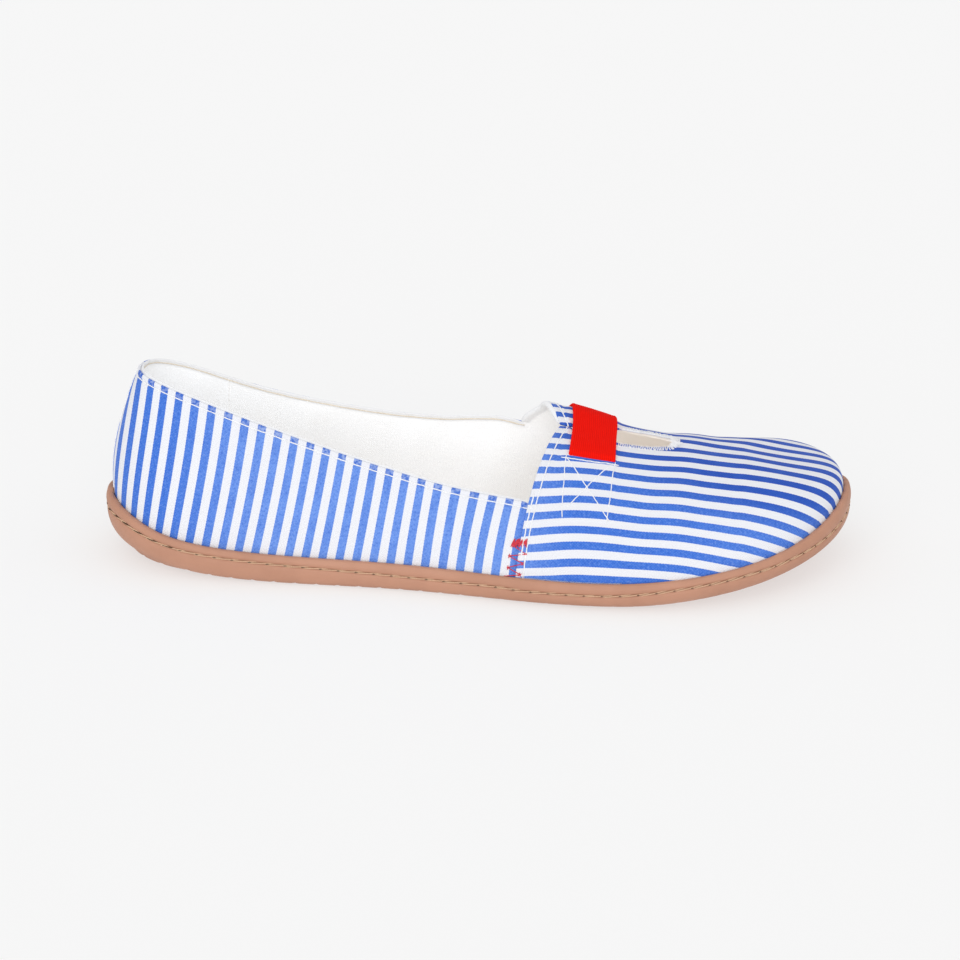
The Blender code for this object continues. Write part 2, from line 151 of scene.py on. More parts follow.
def unit(vectors):
    """The directions of vectors."""
    return vectors / np.linalg.norm(vectors, axis=-1, keepdims=True)


def run_along(points):
    """The distance along lines of points, which follow one another on the first axis."""
    step = np.linalg.norm(np.diff(points, axis=0), axis=-1)
    return np.concatenate([np.zeros((1, *step.shape[1:])), np.cumsum(step, axis=0)])


def turn(share):
    """The place on the outline where the section at a share of the length cuts it."""
    return np.arccos(1 - 2 * np.asarray(share, float)) / np.pi


def both_sides(rows, name, other, flip=1):
    """A table's column for the outer side, and the inner side's: the same or a column of its own."""
    return [flip * getattr(r, name) for r in rows], [getattr(r, other or name) for r in rows]


def closed_ring(rows, name, other=None, flip=1):
    """A table column carried all round the shoe: the inner side may have a column of its own."""
    t = list(turn([r.share for r in rows]))
    out, back = both_sides(rows, name, other, flip)
    k = t + [2 - x for x in t[-2:0:-1]]
    v = out + back[-2:0:-1]
    f = natural([x - 2 for x in k[-3:]] + k + [x + 2 for x in k[:4]], v[-3:] + v + v[:4])
    return lambda q: f(np.mod(q, 2.0))


def heel_ring(rows, name, other=None, flip=1):
    """The same for a table that only runs round the heel."""
    t = list(turn([r.share for r in rows]))
    out, back = both_sides(rows, name, other, flip)
    f = natural([-x for x in t[:0:-1]] + t, back[:0:-1] + out)
    return lambda q: f(np.mod(np.asarray(q) + 1.0, 2.0) - 1.0)


def toe_ring(rows, name, other=None):
    """The same for a table that only runs round the toe."""
    t = list(turn([r.base for r in rows]))
    out, back = both_sides(rows, name, other)
    f = natural(t + [2 - x for x in t[-2::-1]], out + back[-2::-1])
    return lambda q: f(np.mod(q, 2.0))


edge_y = closed_ring(SOLE, "lateral", "medial", -1)
lip = closed_ring(SOLE, "lip")
groove = closed_ring(SOLE, "groove")
bevel_ring = closed_ring(SOLE, "bevel")
tuck = closed_ring(SOLE, "tuck")
arch_ring = closed_ring([r._replace(lateral=0.0) for r in SOLE], "lateral", "arch")
collar_shift = heel_ring(COLLAR, "shift")
collar_y = heel_ring(COLLAR, "lateral", "medial", -1)
collar_z = heel_ring(COLLAR, "height", "height_medial")
collar_swell = heel_ring(COLLAR, "swell")
rib_x, rib_y, rib_z, rib_lean = (toe_ring(RIBS, n) for n in ("x", "y", "z", "lean"))
rib_low, rib_high, rib_tilt = (toe_ring(RIBS, n, n + "_medial") for n in ("low", "high", "tilt"))
middle_z = natural([r.x for r in RIBS], [r.z for r in RIBS])
slit_half = natural([r.x for r in SLIT], [r.half for r in SLIT])
T_JOIN, T_BLEND = float(turn(JOIN)), float(turn(BLEND))


def lifted(share):
    """How far the tread has left the ground at a share of the length."""
    return TOE_SPRING * np.clip((share - SPRING_FROM) / (1 - SPRING_FROM), 0, 1) ** SPRING_CURVE


def spring(t):
    """The same at a place on the outline."""
    return lifted((1 - np.cos(np.pi * np.asarray(t, float))) / 2)


def bevel(t):
    """How far the rim's lower edge is rounded up off the tread."""
    return np.maximum(bevel_ring(t), 0.0)


def rise(t):
    """The height of the tread's rim."""
    return spring(t) + bevel(t) + np.maximum(arch_ring(t), 0.0)


def outline(t):
    """The sole's outline as seen from above."""
    t = np.asarray(t, float)
    return np.stack([LENGTH * (1 - np.cos(np.pi * t)) / 2, edge_y(t)], -1)


def outward(t):
    """The level direction straight out of the shoe's side."""
    d = outline(np.asarray(t) + 1e-3) - outline(np.asarray(t) - 1e-3)
    return unit(np.stack([d[..., 1], -d[..., 0], np.zeros(d.shape[:-1])], -1))


def around(t, inset, z):
    """Points round the shoe, inset from its outline, at a height."""
    p = outline(t)
    p = np.concatenate([p, np.broadcast_to(np.asarray(z, float), p.shape[:-1])[..., None]], -1)
    return p - np.broadcast_to(np.asarray(inset, float), p.shape[:-1])[..., None] * outward(t)


def floor_height(t, in_from_rim=0.0):
    """The top of the sole inside the shoe: it cups up to its rim where the tread is bevelled."""
    return FLOOR + spring(t) * FLOOR_SPRING + bevel(t) * FLOOR_BEVEL * (1 - smooth(0, CUP, in_from_rim))


def floor_at(x, inward):
    """The same at a station, for faces that close the cup's floor."""
    return floor_height(turn(np.clip(x / LENGTH, 0, 1)), inward)


def feather(t):
    """Where the upper's outside face comes out of the sole."""
    return around(t, SEAT, lip(t))


def middle(t):
    """Where a rib of the vamp arrives on its middle line."""
    return np.stack([rib_x(t), rib_y(t), rib_z(t)], -1)


def bezier(c, v):
    """Points of a cubic Bezier curve with four controls."""
    v = np.asarray(v, float)[..., None]
    return c[0] * (1 - v) ** 3 + 3 * c[1] * v * (1 - v) ** 2 + 3 * c[2] * v * v * (1 - v) + c[3] * v ** 3


def part_of(c, a, b):
    """The stretch of a Bezier curve between two of its parameters."""
    def blossom(r, s, q):
        def go(p, w):
            return [p[i] * (1 - w) + p[i + 1] * w for i in range(len(p) - 1)]
        return go(go(go(list(c), r), s), q)[0]
    a, b = (np.asarray(w, float)[..., None] for w in (a, b))
    return blossom(a, a, a), blossom(a, a, b), blossom(a, b, b), blossom(b, b, b)


def vamp_rib(t):
    """The four controls of a rib from the sole to the middle line."""
    foot, top = feather(t), middle(t)
    run = top - foot
    flat = run * [1, 1, 0]
    length = np.linalg.norm(flat, axis=-1, keepdims=True)
    lean = np.radians(rib_lean(t))[..., None]
    up = np.concatenate([-outward(t)[..., :2] * np.sin(lean), np.cos(lean)], -1)
    over = flat / length
    x = np.clip(rib_x(t), RIBS[0].x + 0.5, RIBS[-1].x - 0.5)
    slope = middle_z(x + 0.5) - middle_z(x - 0.5)
    over[..., 2] = over[..., 0] * slope + over[..., 1] * rib_tilt(t)
    low = foot + up * (rib_low(t) * run[..., 2])[..., None]
    high = top - over * rib_high(t)[..., None] * length
    return foot, low, high, top


def height_on(c, z):
    """The parameter at which a rib passes a height."""
    v = np.linspace(0, 1, 201)
    return float(np.interp(z, bezier([p[None] for p in c], v)[:, 2], v))


V_JOIN = [height_on(vamp_rib(np.array(t)), z)
          for t, z in ((T_JOIN, COLLAR[-1].height), (2 - T_JOIN, COLLAR[-1].height_medial))]


def quarter_rib(t):
    """The controls of a rib from the sole to the topline, which takes on the vamp's shape at the join."""
    t = np.mod(np.asarray(t, float), 2.0)
    foot = feather(t)
    top = np.stack([outline(t)[..., 0] + collar_shift(t), collar_y(t), collar_z(t)], -1)
    run, n = top - foot, outward(t)
    swell = n * collar_swell(t)[..., None]
    own = foot, foot + run / 3 + swell, foot + run * 2 / 3 + swell * SWELL_HIGH, top
    side = np.where(t > 1, 2 - t, t)
    held = np.maximum(side, HELD_FROM)
    held = np.where(t > 1, 2 - held, held)
    vamp = part_of(vamp_rib(held), np.zeros_like(t), np.where(t > 1, V_JOIN[1], V_JOIN[0]))
    w = smooth(T_BLEND, T_JOIN, side)[..., None]
    return tuple(o * (1 - w) + (m + (foot - vamp[0])) * w for o, m in zip(own, vamp))


def station(x):
    """The place on the outer side whose rib arrives at station x of the middle line."""
    t = np.linspace(T_JOIN - 0.05, 1, 301)
    return float(np.interp(x, rib_x(t), t))


def slit_cut(t):
    """The parameter at which each of the vamp's ribs is cut by the slit or keyhole."""
    c = vamp_rib(t)
    v = np.linspace(0.5, 1, 101)
    p = bezier([q[None] for q in c], v[:, None] * np.ones(len(t)))
    step = np.linalg.norm(np.diff(p, axis=0), axis=-1)
    left = np.concatenate([np.cumsum(step[::-1], 0)[::-1], np.zeros((1, len(t)))], 0)
    half = np.maximum(slit_half(rib_x(t)), 0.0)
    return np.array([np.interp(-half[i], -left[:, i], v) for i in range(len(t))])


OUTLINE_POINTS = 88         # as many as the CAD's sole has
OUTLINE = outline(np.arange(OUTLINE_POINTS) * 2 / OUTLINE_POINTS)
CENTRE = np.array([LENGTH / 2, (OUTLINE[:, 1].min() + OUTLINE[:, 1].max()) / 2, 0.0])


# ---- nets of points ------------------------------------------------------------------------------

ARC_T = np.linspace(0, 2, 8001)     # places on the outline, and their distance round it from the heel's back
ARC = run_along(outline(ARC_T))
HEEL_TO_TOE = float(np.interp(1.0, ARC_T, ARC))
ROUND = float(ARC[-1])


def distance_round(t):
    """Distance along the outline from the heel's back, growing toward the toe on either side."""
    t = np.mod(t, 2.0)
    out = np.interp(t, ARC_T, ARC)
    return np.where(t > 1, ROUND - out, out)


def stops(*spans):
    """Places along a line, as (from, to, step) spans: each step is as near as the span allows."""
    parts = []
    for start, end, step in spans:
        count = max(1, round((end - start) / step))
        parts.append(np.linspace(start, end, count + 1)[:-1])
    return np.concatenate(parts + [[spans[-1][1]]])


def climb(rib, top, shares):
    """Points at shares of each rib's length up to its top, their distance up it, and its whole length."""
    n = len(top)
    fine = np.linspace(0, 1, 97)[:, None] * top
    p = bezier([c[None] for c in rib], fine)
    run = run_along(p)
    want = shares * run[-1]
    v = np.stack([np.interp(want[:, i], run[:, i], fine[:, i]) for i in range(n)], 1)
    return bezier([c[None] for c in rib], v), want, run[-1]


T_TIP = station(KEYHOLE_TIP)
A_JOIN, A_TIP = float(distance_round(T_JOIN)), float(distance_round(T_TIP))
LOW_ROWS, LOW_FINE_ROWS, FINE_TOP = 32, 12, 4.8         # up to the seam's height, the last 4.8 mm finer
HIGH_ROWS, HIGH_FINE_ROWS, FINE_SLIT = 48, 8, 3.2       # and on over the vamp, the last 3.2 mm finer
SUNK_ROWS = 3       # rows below the sole's lip
FLAP_BACK = 4.6     # how far back the vamp's edge starts from the topline on the inner side
SUNK_DEEP, SUNK_NEAR = 2.0, 0.8         # how far below the lip two of them lie, over one at the floor
PINCH_AT, PINCH_FROM, PINCH_TO = [214, 5, 40], 12, 30   # the ribs crowd round this point over the toes
PINCH_PASSES, PINCH_SHARE = 60, 0.8     # how often the pinch is evened out, and how much of it each time


def crowded(total, edge, coarse_rows, fine_rows):
    """Row distances up each column: even at first, then closer over the last stretch before the edge."""
    low = np.linspace(0, 1, coarse_rows + 1)[:-1, None] * (total - edge)
    high = (total - edge) + np.linspace(0, 1, fine_rows + 1)[:, None] * edge
    return np.concatenate([low, high])


class Girth:
    """How far over the vamp a point lies from its middle line, measured straight across the shoe.

    The whole vamp, as if it had no slit, is cut across at many stations. The length of each cut is kept
    against the angle seen from a low centre line, so any point of the vamp can be looked up."""

    STEPS = 360
    ANGLES = np.linspace(math.pi, 0, STEPS + 1)
    LOW_CENTRE = 9.0        # the centre line's height
    REAR = float(turn(0.40))
    STATIONS = np.linspace(140, 252, 225)
    BLUR = 5                # stations whose mean is taken, so that neighbouring cuts agree

    def __init__(self):
        t = np.linspace(self.REAR, 2 - self.REAR, 701)
        v = np.linspace(0, 1, 141)
        p = bezier([c[:, None] for c in vamp_rib(t)], np.broadcast_to(v, (len(t), len(v))))
        up_to_toe = p[:len(t) // 2 + 1, -1]
        over_toe = p[len(t) // 2, -2::-1]
        middle = np.concatenate([up_to_toe, over_toe])
        a = np.concatenate([p[:-1].reshape(-1, 3), p[:, :-1].reshape(-1, 3)])
        b = np.concatenate([p[1:].reshape(-1, 3), p[:, 1:].reshape(-1, 3)])
        self.x = self.STATIONS
        self.centre = np.empty(len(self.x))
        self.table = np.empty((len(self.x), len(self.ANGLES)))
        for row, x in enumerate(self.x):
            cut = (a[:, 0] - x) * (b[:, 0] - x) < 0
            w = ((x - a[cut, 0]) / (b[cut, 0] - a[cut, 0]))[:, None]
            points = (a[cut] * (1 - w) + b[cut] * w)[:, 1:]
            self.centre[row] = (points[:, 0].min() + points[:, 0].max()) / 2
            angle = np.arctan2(points[:, 1] - self.LOW_CENTRE, points[:, 0] - self.centre[row])
            order = np.argsort(-angle)
            even = [np.interp(-self.ANGLES, -angle[order], points[order, k]) for k in (0, 1)]
            run = np.concatenate([[0], np.cumsum(np.hypot(*np.diff(even, axis=1)))])
            y, z = (np.interp(x, middle[:, 0], middle[:, k]) for k in (1, 2))
            own = math.atan2(z - self.LOW_CENTRE, y - self.centre[row])
            self.table[row] = run - np.interp(-own, -self.ANGLES, run)
        near = np.pad(self.table, ((self.BLUR // 2,) * 2, (0, 0)), mode="edge")
        self.table = sum(near[k:k + len(self.x)] for k in range(self.BLUR)) / self.BLUR

    def __call__(self, points):
        centre = np.interp(points[..., 0], self.x, self.centre)
        angle = np.arctan2(points[..., 2] - self.LOW_CENTRE, points[..., 1] - centre)
        fx = np.clip((points[..., 0] - self.x[0]) / (self.x[1] - self.x[0]), 0, len(self.x) - 1.001)
        fa = np.clip((math.pi - angle) / math.pi * self.STEPS, 0, self.STEPS - 0.001)
        i, k = fx.astype(int), fa.astype(int)
        a, b = fx - i, fa - k
        return (self.table[i, k] * (1 - a) * (1 - b) + self.table[i + 1, k] * a * (1 - b)
                + self.table[i, k + 1] * (1 - a) * b + self.table[i + 1, k + 1] * a * b)


class Net:
    """The upper's outside surface: columns round the shoe from the heel's back, rows up each rib.

    For every point it keeps how far it is round the outline (round), up the rib (up), below the piece's top
    edge (below), ahead of the vamp's rear edge (ahead) and across the vamp's cloth (across)."""

    def __init__(self, coarse=1.0):
        heel = stops((0, 3.2, 0.4 * coarse), (3.2, A_JOIN - 4, 0.9 * coarse),
                     (A_JOIN - 4, A_JOIN, 0.4 * coarse))
        front = stops((A_JOIN, A_JOIN + 6, 0.4 * coarse), (A_JOIN + 6, A_TIP, 0.8 * coarse))
        toe = stops((A_TIP, HEEL_TO_TOE, 0.8 * coarse))
        outer = np.interp(np.concatenate([heel[:-1], front[:-1], toe]), ARC, ARC_T)
        outer[len(heel) - 1] = T_JOIN
        t = np.concatenate([outer, 2 - outer[-2:0:-1]])
        self.n = n = len(t)
        self.join = len(heel) - 1
        self.inner = t > 1
        self.side = np.minimum(t, 2 - t)
        self.vamp = self.side >= T_JOIN - 1e-9
        self.sunk = SUNK_ROWS
        seam_height = V_JOIN[0] + (V_JOIN[1] - V_JOIN[0]) * smooth(T_JOIN, 2 - T_JOIN, t)
        seam = np.where(self.vamp, seam_height, 1.0)
        quarter = quarter_rib(t)
        vamp = vamp_rib(np.where(self.vamp, t, np.where(t > 1, 2 - T_JOIN, T_JOIN)))
        rib = [np.where(self.vamp[:, None], b, a) for a, b in zip(quarter, vamp)]
        total = climb(rib, seam, np.ones((1, n)))[2]
        shares = crowded(total, FINE_TOP, round(LOW_ROWS / coarse), round(LOW_FINE_ROWS / coarse)) / total
        low, up = climb(rib, seam, shares)[:2]
        cut = np.where(self.vamp, slit_cut(np.where(self.vamp, t, 1.0)), 1.0)
        whole = climb(rib, cut, np.ones((1, n)))[2]
        high_rows, high_fine_rows = round(HIGH_ROWS / coarse), round(HIGH_FINE_ROWS / coarse)
        rest = crowded(whole - total, FINE_SLIT, high_rows, high_fine_rows)[1:]
        high, up_high = climb(rib, cut, (total + rest) / np.maximum(whole, 1e-9))[:2]
        foot = low[0]
        down = [np.stack([foot[:, 0], foot[:, 1], z], -1)
                for z in (floor_height(t) + GAP, foot[:, 2] - SUNK_DEEP, foot[:, 2] - SUNK_NEAR)]
        self.points = np.concatenate([np.array(down), low, high])
        self.rows = len(self.points)
        self.top = self.sunk + len(low) - 1
        z = np.array(down)[..., 2] - foot[:, 2]
        self.up = np.concatenate([z, up, up_high])
        self.below = np.where(self.vamp, whole, total) - self.up
        self.seam_up = total
        self.round = np.broadcast_to(distance_round(t), self.up.shape)
        self.across = Girth()(self.points)
        self.across += np.where(self.inner, 1, -1) * np.where(self.up < 0, -self.up, 0)
        self.index = np.arange(self.rows * n).reshape(self.rows, n)
        for i in range(n):
            if self.inner[i] and self.side[i] > T_TIP - 1e-6:
                self.index[-1, i] = self.index[-1, n - i]
        step = np.linalg.norm(np.diff(self.points, axis=1), axis=-1)
        run = np.concatenate([np.zeros((self.rows, 1)), np.cumsum(step, 1)], 1)
        other = n - self.join
        self.ahead = np.where(self.inner, run[:, other:other + 1] - run,
                              run - run[:, self.join:self.join + 1])
        self.even_out()
        self.slide = self.flap_slide()
        self.points[..., 0] -= self.slide
        quads = self.all_faces()
        flat = self.flat()
        flat += normals(flat, quads)[self.index.ravel()] * crease(self).reshape(-1, 1)
        self.points[-1] = flat[self.index[-1]]
        self.normals = normals(flat, quads)[self.index.ravel()]

    def faces(self, columns, rows):
        """Quads between neighbouring columns and rows, where both are wanted (as masks)."""
        quads = []
        for i in np.nonzero(columns)[0]:
            j = (i + 1) % self.n
            if columns[j]:
                k = np.nonzero(rows[:-1] & rows[1:])[0]
                quads.append(np.stack([self.index[k, i], self.index[k, j],
                                       self.index[k + 1, j], self.index[k + 1, i]], -1))
        return np.concatenate(quads)

    def flat(self):
        """The points as one list."""
        return self.points.reshape(-1, 3)

    def all_faces(self):
        """Every quad: the lower rows go all round, and the higher ones only over the vamp."""
        rows = np.arange(self.rows)
        low = self.faces(np.ones(self.n, bool), rows <= self.top)
        return np.concatenate([low, self.faces(self.vamp, rows >= self.top)])

    def flap_slide(self):
        """How far back the vamp's rear edge runs on the inner side, where it slants down to the topline."""
        over = self.up - (self.up + self.below)[0] * (~self.vamp) - self.seam_up * self.vamp
        high = smooth(-6, 0.5, over) * (1 - smooth(1.0, 9.5, over))
        near = np.where(self.ahead > 0, 1 - smooth(0, 10, self.ahead), 1 - smooth(0, 17, -self.ahead))
        return FLAP_BACK * high * near * self.inner

    def even_out(self):
        """Takes out the slight pinch where the ribs crowd together, moving points along the normal only."""
        quads = self.all_faces()
        sides = np.concatenate([quads[:, [k, (k + 1) % 4]] for k in range(4)])
        edges = np.unique(np.sort(sides, axis=1), axis=0)
        p = self.flat()
        weight = 1 - smooth(PINCH_FROM, PINCH_TO, np.linalg.norm(p - PINCH_AT, axis=1))
        count = np.bincount(edges.ravel(), minlength=len(p))
        count[count == 0] = 1
        for _ in range(PINCH_PASSES):
            mean = np.stack([np.bincount(edges[:, 0], p[edges[:, 1], a], len(p))
                             + np.bincount(edges[:, 1], p[edges[:, 0], a], len(p)) for a in range(3)], -1)
            n = normals(p, quads)
            shift = ((mean / count[:, None] - p) * n).sum(1) * weight * PINCH_SHARE
            p += n * shift[:, None]
        self.points[-1] = p[self.index[-1]]


def normals(points, faces):
    """The mean normal of the quads round each point."""
    a, b, c, d = (points[faces[:, k]] for k in range(4))
    area = np.cross(c - a, d - b)
    n = np.zeros_like(points)
    for k in range(4):
        for axis in range(3):
            n[:, axis] += np.bincount(faces[:, k], area[:, axis], len(points))
    length = np.linalg.norm(n, axis=1, keepdims=True)
    return n / np.where(length > 1e-12, length, 1)


# ---- how the cloth lies --------------------------------------------------------------------------
STRIPE = 5.75       # one blue and one white stripe
FIRST_STRIPE = 13.5     # how far round the foot the stripes are counted from

# The stripes on the quarters: at a distance round the foot, how much of a stripe the join's gathers have
# taken, how far the stripes lean back from the ribs, and how much of that is gone EASE_OVER up, in degrees.
QuarterLie = namedtuple("QuarterLie", "round taken lean ease")
QUARTER_LIE = [
    QuarterLie( 45.0, 0.00,  9.5, 9.0),
    QuarterLie( 70.0, 0.00, 12.0, 7.5),
    QuarterLie(100.0, 0.00, 11.5, 5.0),
    QuarterLie(130.0, 0.10,  7.5, 3.0),
    QuarterLie(160.0, 0.45, -0.5, 0.5),
]
EASE_OVER = 50.0

# The stripes on the vamp: by station, how far their middle line has wandered to the inner side, and how wide
# a blue and a white stripe are there. Down the sides they draw closer.
VampLie = namedtuple("VampLie", "x aside stripe")
VAMP_LIE = [
    VampLie(144.0, -1.9, 6.20),
    VampLie(160.0,  2.3, 6.20),
    VampLie(180.0,  3.0, 6.20),
    VampLie(200.0,  1.0, 6.20),
    VampLie(220.0, -1.2, 6.30),
    VampLie(240.0, -1.2, 6.40),
    VampLie(252.0,  0.8, 6.45),
]
HALF_AS_WIDE = 620.0    # this far down the sides the stripes would come to half their width

CLOTH_FROM, CLOTH_BY = 45.0, 70.0       # behind this stretch the cloth's own width sets the stripes
CLOTH_MEETS = 60.0                      # where both ways of counting agree
EASED = 26.0                            # this near the back seam the cloth is eased in, its stripes wider


def width_round(net):
    """How far round from the back seam every point lies, measured square to the ribs."""
    rib = np.gradient(net.points, axis=0)
    rib = rib + np.roll(rib, -1, axis=1)
    rib /= np.maximum(np.linalg.norm(rib, axis=-1, keepdims=True), 1e-9)
    step = np.roll(net.points, -1, axis=1) - net.points
    step -= (step * rib).sum(-1, keepdims=True) * rib
    length = np.linalg.norm(step, axis=-1)
    run = np.cumsum(length, axis=1)
    return np.where(net.inner, run[:, -1:] - run + length, run - length)


def along_rows(rows, place, columns):
    """Columns of a table read at places along its first column, on smooth curves."""
    knots = [row[0] for row in rows]
    return [natural(knots, [getattr(row, name) for row in rows])(place) for name in columns]


def quarter_stripes(net):
    """The number of the stripe at every point, counted round the shoe."""
    s = net.round - net.slide
    taken, lean, ease = along_rows(QUARTER_LIE, s, ("taken", "lean", "ease"))
    up = net.up * np.tan(np.radians(lean)) - net.up ** 2 / (2 * EASE_OVER) * np.tan(np.radians(ease))
    lie = (s - FIRST_STRIPE - up) / STRIPE - taken
    width = width_round(net)
    own = np.empty(lie.shape)
    for side in (net.inner, ~net.inner):
        known = np.nonzero(side)[0][np.argmin(np.abs(net.round[0, side] - CLOTH_MEETS))]
        own[:, side] = lie[:, known, None] + (width[:, side] - width[:, known, None]) / STRIPE
    own += np.clip(1 - net.round / EASED, 0, 1) ** 2 - 0.2 * (1 - smooth(14, 46, net.round))
    ahead = smooth(CLOTH_FROM, CLOTH_BY, net.round)
    return own * (1 - ahead) + lie * ahead


def slit_gather(net):
    """How the stripes are drawn together beside the slit, by its hems and most behind the strap."""
    x, g = net.points[..., 0], np.abs(net.across)
    near = 1 - smooth(6, 26, g)
    outer = -0.25 * (1 - smooth(176, 216, x)) - 0.17 * (1 - smooth(162, 178, x))
    outer *= near * (1 - smooth(190, 198, x) * (1 - smooth(0, 12, g)))
    inner = (0.75 - 0.045 * np.minimum(g, 22)) * (1 - smooth(164, 174, x)) * (1 - smooth(18, 28, g))
    low = -0.16 * smooth(46, 58, g) * smooth(142, 158, x) * (1 - smooth(168, 190, x))
    return np.where(net.inner, inner, outer + low)


def vamp_stripes(net):
    """The number of the stripe at every point, counted across the vamp."""
    x, g = net.points[..., 0], np.abs(net.across)
    aside, wide = along_rows(VAMP_LIE, x, ("aside", "stripe"))
    return (aside - np.sign(net.across) * g * (1 + g / HALF_AS_WIDE)) / wide + slit_gather(net)


# The creases that wear has set: on a panel, where (round or station, up or across), their run and width,
# the way they point in degrees, and how deep they are (- stands up as a ridge).
CreaseRow = namedtuple("CreaseRow", "panel at up run width angle deep")
CREASES = [
    CreaseRow("quarter_outer",  46.0, 33.0, 22.0, 9.0,  70.0, 0.55),
    CreaseRow("quarter_outer",  66.0, 24.0, 20.0, 10.0, 80.0, -0.40),
    CreaseRow("quarter_outer", 112.0, 18.0, 24.0, 8.0,  60.0, 0.45),
    CreaseRow("quarter_outer", 138.0, 13.0, 16.0, 6.0,  75.0, 0.50),
    CreaseRow("quarter_outer", 150.0, 10.0, 14.0, 4.5,  85.0, -0.30),
    CreaseRow("quarter_inner",  40.0, 34.0, 22.0, 9.0,  75.0, 0.50),
    CreaseRow("quarter_inner",  80.0, 22.0, 26.0, 9.0,  65.0, 0.60),
    CreaseRow("quarter_inner", 120.0, 20.0, 20.0, 7.0,  80.0, 0.50),
    CreaseRow("quarter_inner", 142.0, 22.0, 18.0, 6.0,  85.0, -0.40),
    CreaseRow("vamp", 186.0, -40.0, 26.0, 6.5, 78.0, 0.28),
    CreaseRow("vamp", 197.0, -33.0, 24.0, 7.0, 84.0, -0.12),
    CreaseRow("vamp", 206.0, -38.0, 20.0, 6.0, 88.0, 0.20),
    CreaseRow("vamp", 190.0,  34.0, 26.0, 6.0, 98.0, 0.45),
    CreaseRow("vamp", 208.0,  30.0, 20.0, 5.0, 94.0, 0.30),
    CreaseRow("vamp", 200.0, -4.0, 12.0, 4.0, 0.0, 0.30),
    CreaseRow("vamp", 168.0, -30.0, 14.0, 5.0, 20.0, 0.25),
]


def crease(net):
    """How far every point of the net moves out along its normal for the creases."""
    out = np.zeros(net.up.shape)
    panels = {
        "quarter_outer": (net.round, net.up, ~net.vamp & ~net.inner),
        "quarter_inner": (net.round, net.up, ~net.vamp & net.inner),
        "vamp": (net.points[..., 0], net.across, net.vamp),
    }
    for row in CREASES:
        a, b, where = panels[row.panel]
        c, s = math.cos(math.radians(row.angle)), math.sin(math.radians(row.angle))
        along = (a - row.at) * c + (b - row.up) * s
        aside = -(a - row.at) * s + (b - row.up) * c
        wave = 1 - 1.2 * (aside / row.width) ** 2
        out -= row.deep * where * wave * np.exp(-(aside / row.width) ** 2 - (along / row.run) ** 2)
    held = smooth(0, 6, net.up) * np.where(net.vamp, 1, smooth(0, 5, net.below))
    return out * held * smooth(0, 5, np.abs(net.ahead))


# ---- making meshes -------------------------------------------------------------------------------

def grid_quads(index):
    """The quads of a grid of points, given their numbers."""
    return np.stack([index[:-1, :-1], index[1:, :-1], index[1:, 1:], index[:-1, 1:]], -1).reshape(-1, 4)


def shell(points, normal, faces, outer, inner, rim_steps=4):
    """A closed sheet between two offsets of a surface, its edges rounded.

    Also says which point of the surface each of its points came from."""
    used = np.unique(faces)
    place = np.full(len(points), -1)
    place[used] = np.arange(len(used))
    f = place[faces]
    p, n = points[used], normal[used]
    o, i = np.broadcast_to(outer, len(points))[used], np.broadcast_to(inner, len(points))[used]
    count = len(used)
    a, b = f.ravel(), np.roll(f, -1, axis=1).ravel()
    a, b = a[a != b], b[a != b]
    backward = set(zip(b.tolist(), a.tolist()))
    rim = np.array([e for e in zip(a.tolist(), b.tolist()) if e not in backward])
    away = np.zeros((count, 3))
    way = np.cross(p[rim[:, 1]] - p[rim[:, 0]], n[rim[:, 0]])
    way = unit(way)
    np.add.at(away, rim[:, 0], way)
    np.add.at(away, rim[:, 1], way)
    edge = np.unique(rim)
    e = away[edge] / np.maximum(np.linalg.norm(away[edge], axis=1, keepdims=True), 1e-9)
    mid, half = (o + i)[edge, None] / 2, (o - i)[edge, None] / 2
    layers = [p + n * o[:, None], p + n * i[:, None]]
    source = [used, used]
    ring = np.full((rim_steps + 1, count), -1)
    ring[0, edge], ring[rim_steps, edge] = edge, edge + count
    for k in range(1, rim_steps):
        angle = math.pi * k / rim_steps
        layers.append(p[edge] + n[edge] * (mid + half * math.cos(angle)) + e * half * math.sin(angle))
        source.append(used[edge])
        ring[k, edge] = 2 * count + (k - 1) * len(edge) + np.arange(len(edge))
    quads = [f, f[:, ::-1] + count]
    for k in range(rim_steps):
        quads.append(np.stack([ring[k, rim[:, 1]], ring[k, rim[:, 0]],
                               ring[k + 1, rim[:, 0]], ring[k + 1, rim[:, 1]]], -1))
    return np.concatenate(layers), np.concatenate(quads), np.concatenate(source)


NO_EDGE = 9.0       # how far off the free edge counts as nowhere near it


def add_object(name, data):
    """A new object in the scene."""
    made = bpy.data.objects.new(name, data)
    bpy.context.scene.collection.objects.link(made)
    return made


def make_piece(name, points, faces, look, stands_for=(), cloth=None, edge=None):
    """A piece from points in millimetres, with the cloth's own coordinates where it is woven.

    Where edge is given it is kept as an attribute: how far each point lies from the cloth's free edge."""
    mesh = bpy.data.meshes.new(name)
    corners = [[int(v) for k, v in enumerate(f) if v != f[k - 1]] for f in np.asarray(faces)]
    mesh.from_pydata(((np.asarray(points) - CENTRE) * MM).tolist(), [], corners)
    mesh.materials.append(look)
    if cloth is not None:
        layer = mesh.uv_layers.new(name="cloth")
        corner = np.empty(len(mesh.loops), dtype=np.int32)
        mesh.loops.foreach_get("vertex_index", corner)
        layer.data.foreach_set("uv", cloth[corner].astype(np.float32).ravel())
    if edge is not None:
        mesh.attributes.new("edge", "FLOAT", "POINT").data.foreach_set("value", np.asarray(edge, np.float32))
    mesh.shade_smooth()
    settle(add_object(name, mesh), stands_for)


def settle(piece, stands_for=()):
    """Gives a finished piece its place on the shoe's one body, and hides the CAD nodes it stands for."""
    if stands_for:
        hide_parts(*stands_for)
    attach(piece, "root")


